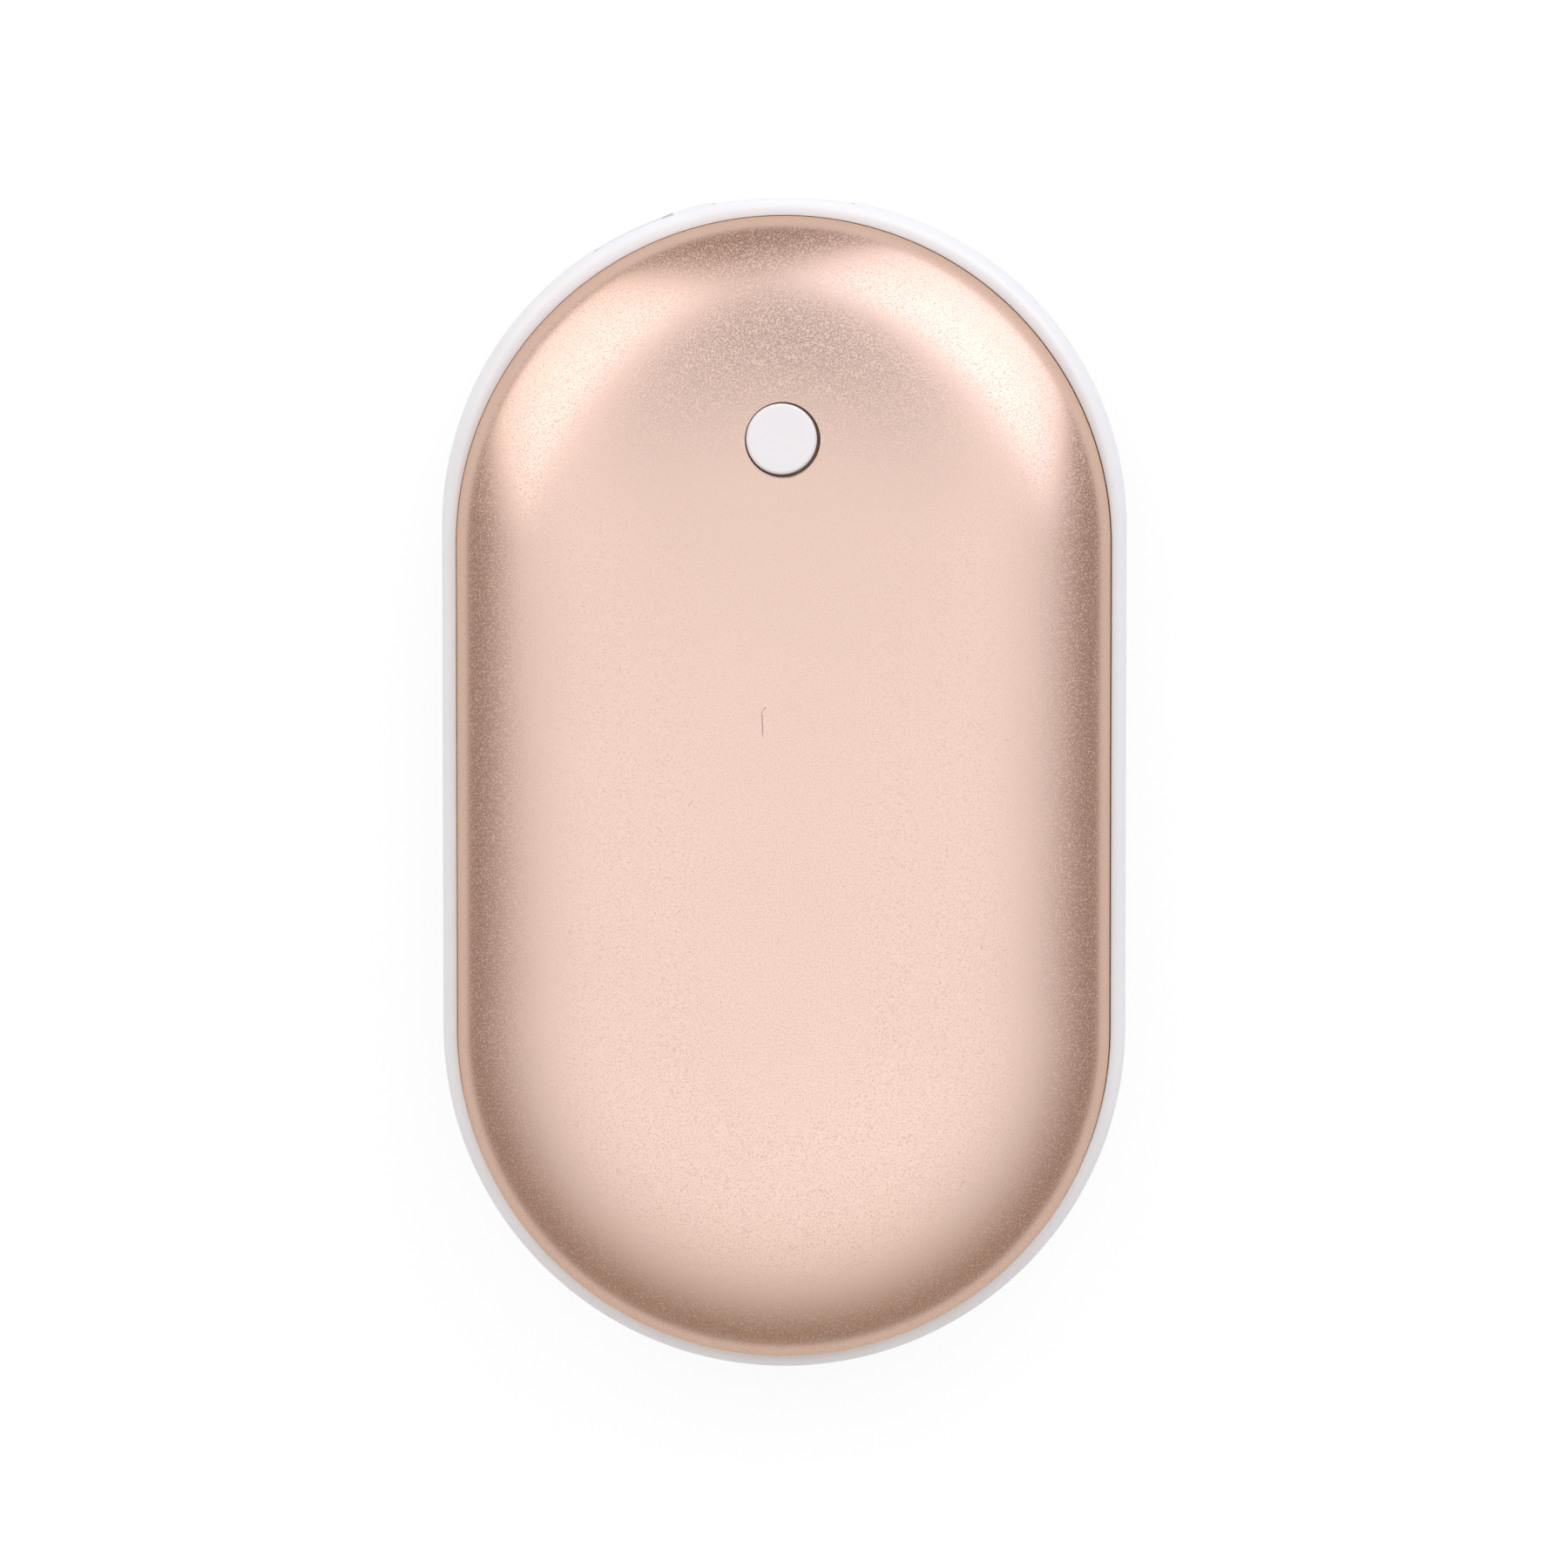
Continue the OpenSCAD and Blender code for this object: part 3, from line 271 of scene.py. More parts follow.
# Cross rib with the seat of the board, and the hollow bosses for screws
RIB_T = 1.6
CROSS_Y, CROSS_HALF = 25.8, 29.0
SEAT_W, SEAT_LOW = 36.0, 6.0
BOARD_Z = 2.85
BOSS_R, PILOT_R, BOSS_H = 2.2, 1.0, 3.8
BOARD_BOSSES = [(-20.46, 30.55), (20.46, 30.55), (11.91, 41.94)]
TRAY_BOSS_X, TRAY_BOSS_Y = 24.6, 8.8
TRAY_BOSSES = [(s * TRAY_BOSS_X, t * TRAY_BOSS_Y) for s in (-1, 1) for t in (-1, 1)]
TRAY_BOSS_TOP = -0.6

# Openings of the two ports. The narrow one has two slanted lower corners, and is turned round
# the end's centre. Each mouth goes outwards in steps: how far past the frame's outside, and how
# much wider all round
WIDE_W, WIDE_H, WIDE_CORNER = 13.5, 6.1, 0.8
WIDE_MOUTH = [(-6.0, 0.0), (-0.3, 0.0), (-0.12, 0.036), (0.0, 0.21), (1.0, 0.21)]
NARROW_W, NARROW_H = 7.9, 3.0
NARROW_SIDE_SHARE, NARROW_FOOT_SHARE = 0.45, 0.74
NARROW_TURN = math.radians(25.8)
NARROW_OUT_R, NARROW_Z = 31.82, 1.55
NARROW_MOUTH = [(-6.0, 0.0), (-0.3, 0.0), (0.0, 0.105), (0.4, 0.18), (1.0, 0.18)]


def frame_reach(centre, d):
    """Distance from the body's middle line to the frame's outline, before its tip is cut flat."""
    if d[1] < TINY:
        return FRAME_R
    side = math.copysign(1.0, d[0])
    if abs(d[0]) > TINY and centre[1] + FRAME_R / abs(d[0]) * d[1] <= SHOULDER[1]:
        return FRAME_R / abs(d[0])
    for cx, cy, r in ((side * SHOULDER[0], SHOULDER[1], SHOULDER[2]), CROWN):
        px, py = centre[0] - cx, centre[1] - cy
        b = px * d[0] + py * d[1]
        t = -b + math.sqrt(b * b - (px * px + py * py - r * r))
        if r == SHOULDER[2] and math.atan2(py + t * d[1], abs(px + t * d[0])) <= SHOULDER_A:
            break
    return t


def frame_band():
    """The band round the body: pillowed outside, a lip and a ledge for each shell, and a tongue."""
    stations = stadium_stations(arc_n=144)
    reach = [frame_reach(c, d) for c, d in stations]
    steps, edge, bevel_share = 30, 0.12, 0.3
    rings = []
    for k in range(steps + 1):
        a = -PI / 2 + PI * k / steps
        rings.append([(c[0] + (t - PILLOW + PILLOW * math.cos(a)) * d[0],
                       c[1] + (t - PILLOW + PILLOW * math.cos(a)) * d[1], LIP_Z * math.sin(a))
                      for t, (c, d) in zip(reach, stations)])
    inner = []
    for s in (1, -1):
        half = [(LIP_R + edge, LIP_Z), (LIP_R + bevel_share * edge, LIP_Z - bevel_share * edge),
                (LIP_R, LIP_Z - edge), (LIP_R, LEDGE_Z), (FLANGE_R, LEDGE_Z),
                (FLANGE_R, FLANGE_Z), (FRAME_IN_R, FLANGE_Z)]
        inner += [(r, s * z) for r, z in (half if s > 0 else reversed(half))]
    rings += [ring_at(stations, r, z) for r, z in inner]
    points, faces = skin(rings, closed_profile=True)
    points = [(x, min(y, TIP_Y), z) for x, y, z in points]
    return mesh_from("mid_frame_band", points, faces)


def wide_section(grow):
    """The wide port's outline from its middle, a rounded rectangle."""
    steps = 5
    out = []
    w, h, r = WIDE_W / 2 + grow, WIDE_H / 2 + grow, WIDE_CORNER + grow
    for sx, sz, a0 in ((1, 1, 0), (-1, 1, 90), (-1, -1, 180), (1, -1, 270)):
        for i in range(steps + 1):
            a = math.radians(a0 + 90 * i / steps)
            out.append((sx * (w - r) + r * math.cos(a), sz * (h - r) + r * math.sin(a)))
    return out


def narrow_section(grow):
    """The narrow port's outline from its middle."""
    w, h = NARROW_W / 2 + grow, NARROW_H / 2 + grow
    low = NARROW_H * NARROW_SIDE_SHARE - NARROW_H / 2
    foot = w * NARROW_FOOT_SHARE
    return [(-w, h), (-w, low), (-foot, -h), (foot, -h), (w, low), (w, h)]


def mouth_cutter(section, mouth, place):
    """A solid lofted between a port's outlines at the steps of its mouth."""
    rings = []
    for out, grow in mouth:
        rings.append([place(x, out, z) for x, z in section(grow)])
    points, faces = skin(rings)
    n = len(rings[0])
    faces.append(tuple(range(n)))
    faces.append(tuple(len(points) - n + i for i in range(n)))
    return mesh_from("cutter", points, faces, smooth=False)


def wide_place(x, out, z):
    return x, TIP_Y + out, z


def narrow_place(x, out, z):
    reach = NARROW_OUT_R + out
    return (x * math.cos(NARROW_TURN) - reach * math.sin(NARROW_TURN),
            END_Y + x * math.sin(NARROW_TURN) + reach * math.cos(NARROW_TURN), z + NARROW_Z)


def block(x0, x1, y0, y1, z0, z1):
    """Points and faces of a box."""
    points = [(x, y, z) for z in (z0, z1) for y in (y0, y1) for x in (x0, x1)]
    faces = [(0, 2, 3, 1), (4, 5, 7, 6), (0, 1, 5, 4), (2, 6, 7, 3), (0, 4, 6, 2), (1, 3, 7, 5)]
    return points, faces


def tube_boss(name, place, z0, z1, middle_y):
    """A hollow screw boss, and its web out to the band, away from a point on the middle line."""
    edge, bite, steps = 0.15, 0.6, 40
    profile = [(PILOT_R, z0), (BOSS_R, z0), (BOSS_R, z1 - edge), (BOSS_R - edge, z1),
               (PILOT_R + edge, z1), (PILOT_R, z1 - edge), (PILOT_R, z0)]
    boss = lathe(name, profile, place, steps)
    out = Vector((place[0], place[1] - middle_y))
    start, away = out.length + PILOT_R + 2 * edge, out.normalized()
    points, faces = block(start, FRAME_IN_R + bite, -RIB_T / 2, RIB_T / 2,
                          max(z0, -FLANGE_Z), min(z1, FLANGE_Z))
    points = [(x * away.x - y * away.y, middle_y + x * away.y + y * away.x, z)
              for x, y, z in points]
    return carve(boss, mesh_from("cutter", points, faces, smooth=False), "UNION")


def make_frame():
    band = frame_band()
    carve(band, mouth_cutter(wide_section, WIDE_MOUTH, wide_place))
    carve(band, mouth_cutter(narrow_section, NARROW_MOUTH, narrow_place))
    rib = block(-CROSS_HALF, CROSS_HALF, CROSS_Y, CROSS_Y + RIB_T, -FLANGE_Z, FLANGE_Z)
    seat = block(-SEAT_W / 2, SEAT_W / 2, CROSS_Y, CROSS_Y + RIB_T, -SEAT_LOW, BOARD_Z)
    pieces = [band, carve(mesh_from("mid_frame_cross_rib", *rib, smooth=False),
                          mesh_from("cutter", *seat, smooth=False), "UNION")]
    for i, place in enumerate(BOARD_BOSSES):
        pieces.append(tube_boss("mid_frame_board_boss_%d" % i, place,
                                BOARD_Z - BOSS_H, BOARD_Z, END_Y))
    for i, place in enumerate(TRAY_BOSSES):
        pieces.append(tube_boss("mid_frame_tray_boss_%d" % i, place,
                                TRAY_BOSS_TOP - BOSS_H, TRAY_BOSS_TOP, place[1]))
    for piece in pieces:
        sharpen(piece, SHARP)
        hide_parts("mid_frame")
        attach(piece, "body")
        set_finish(piece, "frame_white")
    return pieces


# Push button
def make_button():
    top, edge, steps = 12.7, 0.3, 8
    flange_r, flange_top, flange_low = 4.49, 11.6, 10.7
    stem_r, stem_low = 1.8, 8.88
    inner_ring_share = 0.55
    profile = [(0, top), (inner_ring_share * BUTTON_R, top)]
    for i in range(steps + 1):
        a = PI / 2 * i / steps
        profile.append((BUTTON_R - edge + edge * math.sin(a), top - edge + edge * math.cos(a)))
    profile += [(BUTTON_R, flange_top), (flange_r, flange_top), (flange_r, flange_low),
                (stem_r, flange_low), (stem_r, stem_low), (0, stem_low)]
    cap = lathe("button_cap_moulding", profile, BUTTON)
    sharpen(cap, TURNED_SHARP)
    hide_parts("button_cap")
    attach(cap, "button")
    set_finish(cap, "button_white")
    return cap


def make_snap_dome():
    """The snap dome of the switch, which stands on its rim; the real one flattens under the plunger,
    but here it is built unpressed.
    """
    rim_r, rise, thickness, floor_z = 2.1, 0.5, 0.08, 5.65
    steps = 16
    ball_r = (rim_r ** 2 + rise ** 2) / (2 * rise)
    ball_z = floor_z + rise - ball_r
    inner_r = ball_r - thickness
    inner_rim = math.sqrt(inner_r ** 2 - (floor_z - ball_z) ** 2)
    profile = []
    for i in range(steps + 1):
        r = rim_r * i / steps
        profile.append((r, ball_z + math.sqrt(ball_r ** 2 - r ** 2)))
    for i in range(steps, -1, -1):
        r = inner_rim * i / steps
        profile.append((r, ball_z + math.sqrt(inner_r ** 2 - r ** 2)))
    dome = lathe("switch_snap_dome", profile, BUTTON)
    sharpen(dome, TURNED_SHARP)
    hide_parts("switch_dome")
    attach(dome, "body")
    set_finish(dome, "plated_steel")
    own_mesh(dome)
    return dome


frame_pieces = make_frame()
button_cap = make_button()
snap_dome = make_snap_dome()

# Camera, light and floor
# The camera looks straight down but for a small tilt, in degrees towards +X and +Y
IMAGE_PX, FOCAL_PX = 1800.0, 5650.3
CAMERA_D = 0.450
CAMERA_TILT = (0.66, 2.33)
AIM = Vector((-0.02 * MM, 0.135 * MM, MID_Z * MM))


def make_camera():
    data = bpy.data.cameras.new("camera")
    data.sensor_width = 36.0
    data.sensor_fit = "HORIZONTAL"
    data.lens = FOCAL_PX / IMAGE_PX * data.sensor_width
    data.clip_start = 0.01
    obj = bpy.data.objects.new("camera", data)
    bpy.context.scene.collection.objects.link(obj)
    tilt = [math.tan(math.radians(a)) for a in CAMERA_TILT]
    away = Vector((*tilt, 1)).normalized()
    right = Vector((0, 1, 0)).cross(away).normalized()
    up = away.cross(right)
    turn = Matrix((right, up, away)).transposed().to_4x4()
    obj.matrix_world = Matrix.Translation(AIM + away * CAMERA_D) @ turn
    bpy.context.scene.camera = obj


def direction(zenith, azimuth):
    z, a = math.radians(zenith), math.radians(azimuth)
    return Vector((math.sin(z) * math.cos(a), math.sin(z) * math.sin(a), math.cos(z)))


LAMP_DISTANCE = 1.1


def make_softbox(name, zenith, azimuth, width, height, radiance, colour):
    """A rectangular lamp that faces the object, with its brightness given per area."""
    data = bpy.data.lights.new(name, "AREA")
    data.shape = "RECTANGLE"
    data.size, data.size_y = width, height
    data.energy = radiance * PI * width * height
    data.color = colour
    obj = bpy.data.objects.new(name, data)
    bpy.context.scene.collection.objects.link(obj)
    away = direction(zenith, azimuth)
    obj.location = away * LAMP_DISTANCE + Vector((0, 0, MID_Z * MM))
    obj.rotation_euler = away.to_track_quat("Z", "Y").to_euler()


class Shader:
    """Wires up the nodes of one procedural material or world."""

    def __init__(self, tree):
        self.tree = tree

    def add(self, kind, settings=None, **inputs):
        node = self.tree.nodes.new(kind)
        for key, value in (settings or {}).items():
            setattr(node, key, value)
        for key, value in inputs.items():
            self.put(node, key.replace("_", " "), value)
        return node

    def put(self, node, key, value):
        socket = node.inputs[int(key)] if key.isdigit() else node.inputs[key]
        if isinstance(value, bpy.types.NodeSocket):
            self.tree.links.new(value, socket)
        else:
            socket.default_value = value

    def ramp(self, factor, stops, mode="LINEAR"):
        node = self.tree.nodes.new("ShaderNodeValToRGB")
        node.color_ramp.interpolation = mode
        elements = node.color_ramp.elements
        while len(elements) < len(stops):
            elements.new(0.5)
        for element, (position, colour) in zip(elements, stops):
            element.position = position
            element.color = (*colour, 1)
        self.tree.links.new(factor, node.inputs["Fac"])
        return node.outputs["Color"]

    def math(self, operation, a, b=0.0):
        node = self.tree.nodes.new("ShaderNodeMath")
        node.operation = operation
        for i, value in enumerate((a, b)):
            self.put(node, str(i), value)
        return node.outputs["Value"]

    def step(self, value, start, end):
        """Nought before start and one past end, smooth between them."""
        node = self.add("ShaderNodeMapRange", {"interpolation_type": "SMOOTHSTEP"}, Value=value)
        self.put(node, "From Min", min(start, end))
        self.put(node, "From Max", max(start, end))
        self.put(node, "To Min", 0.0 if end > start else 1.0)
        self.put(node, "To Max", 1.0 if end > start else 0.0)
        return node.outputs["Result"]

    def dot(self, vector, axis):
        node = self.tree.nodes.new("ShaderNodeVectorMath")
        node.operation = "DOT_PRODUCT"
        self.put(node, "0", vector)
        self.put(node, "1", axis)
        return node.outputs["Value"]

    def mix(self, factor, a, b, blend="MIX"):
        node = self.tree.nodes.new("ShaderNodeMix")
        node.data_type = "RGBA"
        node.blend_type = blend
        self.put(node, "0", factor)
        self.put(node, "6", a)
        self.put(node, "7", b)
        return node.outputs[2]


# Brightness of the studio's walls and ceiling, from level (0) to straight overhead (1)
CEILING = 1.40
SKY = [
    (0.0, (0.29, 0.225, 0.19)), (0.40, (0.26, 0.20, 0.165)), (0.60, (0.32, 0.26, 0.23)),
    (0.72, (0.41, 0.365, 0.345)), (0.80, (0.51, 0.48, 0.47)), (0.86, (0.62, 0.60, 0.59)),
    (0.91, (0.76, 0.75, 0.745)), (0.956, (0.92, 0.915, 0.91)), (1.0, (1.0, 1.0, 1.0)),
]
SKY_AXIS = direction(4, 270)
# A darker patch overhead, where the photographer stands, and a warmer wall past the end without
# ports, both by the cosine of the angle from their middles
SHADE_AT = direction(16, 90)
SHADE_COS = math.cos(math.radians(17.5))
SHADE_STRENGTH = 0.65
FAR_WALL_AT = Vector((0, -1, 0))
FAR_WALL_FROM, FAR_WALL_FULL = 0.2, 0.8
FAR_WALL = (1.02, 1.0, 0.93)


def make_world():
    world = bpy.data.worlds.new("studio")
    bpy.context.scene.world = world
    world.use_nodes = True
    s = Shader(world.node_tree)
    background = world.node_tree.nodes["Background"]
    where = s.add("ShaderNodeTexCoord").outputs["Generated"]
    sky = s.ramp(s.dot(where, SKY_AXIS), SKY, "B_SPLINE")
    patch = s.add("ShaderNodeMapRange", {"interpolation_type": "SMOOTHSTEP"},
                  Value=s.dot(where, SHADE_AT), From_Min=SHADE_COS, From_Max=1.0,
                  To_Min=1.0, To_Max=1.0 - SHADE_STRENGTH)
    far_wall = s.step(s.dot(where, FAR_WALL_AT), FAR_WALL_FROM, FAR_WALL_FULL)
    sky = s.mix(far_wall, sky, (*FAR_WALL, 1), "MULTIPLY")
    colour = s.add("ShaderNodeVectorMath", {"operation": "SCALE"})
    s.put(colour, "0", sky)
    s.put(colour, "Scale", patch.outputs["Result"])
    s.put(background, "Color", colour.outputs["Vector"])
    background.inputs["Strength"].default_value = CEILING


FLOOR_COLOUR = (0.87, 0.91, 0.96)
FLOOR_HALF = 6.0                    # half its side, in metres
FLOOR_DROP = 0.00002                # how far it lies under the object, in metres
FLOOR_WHITE = 1.08
FLOOR_GLOW = 0.78                   # share of plain white in what the camera sees of it
FLOOR_IN_METAL = 0.44               # share of that glow which mirrors show


def make_floor():
    """A pale table top, mostly plain white to the camera and in mirrors, that keeps the shadow."""
    mesh = bpy.data.meshes.new("floor")
    corners = [(sx * FLOOR_HALF, sy * FLOOR_HALF, 0)
               for sx, sy in ((-1, -1), (1, -1), (1, 1), (-1, 1))]
    mesh.from_pydata(corners, [], [(0, 1, 2, 3)])
    floor = link_object("floor", mesh)
    material = bpy.data.materials.new("floor_white")
    material.use_nodes = True
    s = Shader(material.node_tree)
    nodes = material.node_tree.nodes
    diffuse = nodes["Principled BSDF"]
    s.put(diffuse, "Base Color", (*FLOOR_COLOUR, 1))
    s.put(diffuse, "Roughness", 0.9)
    s.put(diffuse, "Specular IOR Level", 0.1)
    path = s.add("ShaderNodeLightPath")
    in_metal = s.math("MULTIPLY", path.outputs["Is Glossy Ray"], FLOOR_IN_METAL)
    seen = s.math("MAXIMUM", path.outputs["Is Camera Ray"], in_metal)
    seen = s.math("MAXIMUM", seen, path.outputs["Is Transmission Ray"])
    share = s.math("MULTIPLY", seen, FLOOR_GLOW)
    glow = s.add("ShaderNodeEmission", Color=(1, 1, 1, 1), Strength=FLOOR_WHITE)
    mixed = s.add("ShaderNodeMixShader")
    s.put(mixed, "Fac", share)
    s.put(mixed, "1", diffuse.outputs["BSDF"])
    s.put(mixed, "2", glow.outputs["Emission"])
    s.put(nodes["Material Output"], "Surface", mixed.outputs["Shader"])
    mesh.materials.append(material)
    floor.location.z = -FLOOR_DROP


bpy.context.scene.view_settings.view_transform = "Standard"
make_camera()
make_world()
make_floor()
make_softbox("softbox_right", zenith=57.5, azimuth=50, width=0.96, height=1.27, radiance=1.42,
             colour=(0.95, 0.98, 1.06))
make_softbox("softbox_left", zenith=54.5, azimuth=139, width=0.78, height=1.12, radiance=1.26,
             colour=(0.985, 0.985, 0.985))

# Materials
GOLD = (0.775, 0.58, 0.505)
GOLD_EDGE = (0.88, 0.73, 0.61)      # the metal's tint where it is seen at a low angle
# Painted shade on the metal towards the seam, darker and warmer, where it mirrors the dark low
# walls; by height from the middle plane in millimetres
SKIRT_PAINTED_SHADE = (0.95, 0.915, 0.85)
SKIRT_SHADE_FROM, SKIRT_SHADE_FULL = 9.4, 7.8
GAP_SHADE = (0.33, 0.22, 0.17)      # painted shade down in the gaps between pieces


def new_material(name):
    material = bpy.data.materials.new(name)
    material.use_nodes = True
    return material, Shader(material.node_tree), material.node_tree.nodes["Principled BSDF"]


def scaled(colour, k):
    return tuple(min(1.0, k * c) for c in colour)


def tinted(s, where, colour, spread, scale):
    """A colour that wanders a little over the surface."""
    cloud = s.add("ShaderNodeTexNoise", Vector=where, Scale=scale, Detail=3.0).outputs["Fac"]
    return s.ramp(cloud, [(0.3, scaled(colour, 1 - spread)), (0.7, scaled(colour, 1 + spread))])


def surface(s, bsdf, height, strength, distance, rough, span=(0.3, 0.7)):
    """Bump from a height, and roughness that follows it between the two heights of the span."""
    bump = s.add("ShaderNodeBump", Height=height, Strength=strength, Distance=distance * MM)
    s.put(bsdf, "Normal", bump.outputs["Normal"])
    spread = s.add("ShaderNodeMapRange", Value=height, From_Min=span[0], From_Max=span[1],
                   To_Min=rough[0], To_Max=rough[1])
    s.put(bsdf, "Roughness", spread.outputs["Result"])


# Small marks of use on the face. Place, length and width are in millimetres and the turn in
# degrees. The last value says how far a mark shows, and is negative for a dark one
MARKS = [
    ((-1.8, 6.0), 3.0, 0.13, 2, -0.85), ((-1.62, 7.3), 0.6, 0.12, -35, -0.7),
    ((-8.2, -1.1), 0.9, 0.12, -40, -0.45), ((-9.3, -10.8), 1.2, 0.12, -48, -0.4),
    ((-0.4, -13.4), 0.7, 0.12, -20, -0.4), ((17.7, -13.9), 0.8, 0.12, 0, -0.4),
    ((16.0, -35.2), 0.7, 0.12, -30, -0.4), ((26.8, 16.4), 0.8, 0.16, 0, 0.6),
]
DARK_MARK_SHARE = 0.35
PALE_MARK = (0.95, 0.9, 0.86)


def mark_mask(s, where, place, length, width, turn):
    """One inside a thin mark that lies flat on the face, and nought outside it."""
    full_share = 0.4
    moved = s.add("ShaderNodeVectorMath", {"operation": "SUBTRACT"})
    s.put(moved, "0", where)
    s.put(moved, "1", (place[0] * MM, place[1] * MM, 0))
    turned = s.add("ShaderNodeVectorRotate", {"rotation_type": "Z_AXIS"},
                   Vector=moved.outputs["Vector"], Angle=math.radians(-turn))
    split = s.add("ShaderNodeSeparateXYZ", Vector=turned.outputs["Vector"])
    inside = None
    for axis, half in (("X", width / 2), ("Y", length / 2)):
        reach = s.math("ABSOLUTE", split.outputs[axis])
        edge = s.add("ShaderNodeMapRange", {"interpolation_type": "SMOOTHSTEP"}, Value=reach,
                     From_Min=full_share * half * MM, From_Max=half * MM,
                     To_Min=1.0, To_Max=0.0).outputs["Result"]
        inside = edge if inside is None else s.math("MULTIPLY", inside, edge)
    return inside


def anodised():
    """Sand-blasted aluminium with a rose gold anodised layer."""
    material, s, bsdf = new_material("anodised_aluminium")
    where = s.add("ShaderNodeTexCoord").outputs["Object"]
    grain = s.add("ShaderNodeTexNoise", Vector=where, Scale=6800.0, Detail=1.0,
                  Roughness=0.6).outputs["Fac"]
    grain_span = (0.48, 0.74)
    colour = s.ramp(grain, list(zip(grain_span, (scaled(GOLD, 0.985), scaled(GOLD, 1.06)))))
    tone = tinted(s, where, (0.985, 0.98, 0.975), 0.015, 40.0)
    colour = s.mix(1.0, colour, tone, "MULTIPLY")
    for place, length, width, turn, shown in MARKS:
        mask = mark_mask(s, where, place, length, width, turn)
        mark = scaled(GOLD, DARK_MARK_SHARE) if shown < 0 else PALE_MARK
        colour = s.mix(s.math("MULTIPLY", mask, abs(shown)), colour, (*mark, 1))
    height = s.add("ShaderNodeSeparateXYZ", Vector=where).outputs["Z"]
    height = s.math("ABSOLUTE", s.math("SUBTRACT", height, MID_Z * MM))
    # painted shade, darker and warmer towards the seam
    skirt = s.step(height, SKIRT_SHADE_FROM * MM, SKIRT_SHADE_FULL * MM)
    s.put(bsdf, "Base Color", s.mix(skirt, colour, (*SKIRT_PAINTED_SHADE, 1), "MULTIPLY"))
    bsdf.inputs["Metallic"].default_value = 1.0
    bsdf.inputs["Specular Tint"].default_value = (*GOLD_EDGE, 1)
    # a few rough grains between smoother ones sparkle where the metal is dark
    surface(s, bsdf, grain, strength=0.025, distance=0.02, rough=(0.26, 0.6), span=grain_span)
    return material


def flat_distance(s, where, centre, straight=0.0):
    """Distance in plan from an upright axis, or from a line along Y; straight is its half length."""
    moved = s.add("ShaderNodeVectorMath", {"operation": "SUBTRACT"})
    s.put(moved, "0", where)
    s.put(moved, "1", (centre[0] * MM, centre[1] * MM, 0))
    split = s.add("ShaderNodeSeparateXYZ", Vector=moved.outputs["Vector"])
    along = s.math("ABSOLUTE", split.outputs["Y"])
    past_end = s.math("MAXIMUM", s.math("SUBTRACT", along, straight * MM), 0.0)
    flat = s.add("ShaderNodeCombineXYZ", X=split.outputs["X"], Y=past_end)
    length = s.add("ShaderNodeVectorMath", {"operation": "LENGTH"}, Vector=flat.outputs["Vector"])
    return length.outputs["Value"]


def between(s, value, low, low_full, high_full, high):
    """One between the two middle values, in millimetres, and nought past the outer ones."""
    above = s.step(value, low * MM, low_full * MM)
    return s.math("MULTIPLY", above, s.step(value, high * MM, high_full * MM))


def in_gap(s, where, kind):
    """How far a point lies down in the gap round the button, or in the seam of a shell, where shade
    is painted.
    """
    height = s.add("ShaderNodeSeparateXYZ", Vector=where).outputs["Z"]
    if kind == "button":
        top = 2 * MID_Z
        reach = flat_distance(s, where, BUTTON)
        ring = between(s, reach, BUTTON_R - 0.7, BUTTON_R - 0.5, HOLE_R + 0.2, HOLE_R + 0.5)
        depth = between(s, height, top - 1.1, top - 0.95, top - 0.28, top + 0.02)
        return s.math("MULTIPLY", ring, depth)
    height = s.math("ABSOLUTE", s.math("SUBTRACT", height, MID_Z * MM))
    reach = flat_distance(s, where, (0, 0), END_Y)
    ring = between(s, reach, SHELL_R - 0.4, SHELL_R - 0.2, LIP_R + 0.02, LIP_R + 0.08)
    depth = between(s, height, LEDGE_Z - 0.15, LEDGE_Z - 0.05, LIP_Z - 0.25, LIP_Z)
    return s.math("MULTIPLY", ring, depth)


def moulded(name, colour, rough, spread=0.03, pebble=900.0, depth=0.01, sheen=0.0, soft=0.0,
            gap=None):
    """Plastic and the like: a wandering tone, a fine grain and a roughness that follows it."""
    material, s, bsdf = new_material(name)
    where = s.add("ShaderNodeTexCoord").outputs["Object"]
    tone = tinted(s, where, colour, spread, 160.0)
    if gap:
        # painted shade down in the gap round the button and in the shell's seam
        tone = s.mix(in_gap(s, where, gap), tone, (*GAP_SHADE, 1))
    s.put(bsdf, "Base Color", tone)
    grain = s.add("ShaderNodeTexNoise", Vector=where, Scale=pebble, Detail=3.0,
                  Roughness=0.6).outputs["Fac"]
    surface(s, bsdf, grain, strength=0.3, distance=depth, rough=(rough - 0.05, rough + 0.05))
    bsdf.inputs["Coat Weight"].default_value = sheen
    bsdf.inputs["Coat Roughness"].default_value = 0.15
    if soft:
        bsdf.inputs["Subsurface Weight"].default_value = soft
        bsdf.inputs["Subsurface Radius"].default_value = (1.0, 0.95, 0.9)
        bsdf.inputs["Subsurface Scale"].default_value = 0.5 * MM
    return material


def metal(name, colour, rough, stretch=(1, 1, 1), spread=0.05):
    """Bare or plated metal with fine lines from rolling, or an even grain."""
    material, s, bsdf = new_material(name)
    where = s.add("ShaderNodeTexCoord").outputs["Object"]
    drawn = s.add("ShaderNodeMapping", Vector=where, Scale=stretch).outputs["Vector"]
    s.put(bsdf, "Base Color", tinted(s, where, colour, spread, 220.0))
    bsdf.inputs["Metallic"].default_value = 1.0
    lines = s.add("ShaderNodeTexNoise", Vector=drawn, Scale=2500.0, Detail=4.0).outputs["Fac"]
    surface(s, bsdf, lines, strength=0.25, distance=0.01, rough=(rough - 0.06, rough + 0.08))
    return material


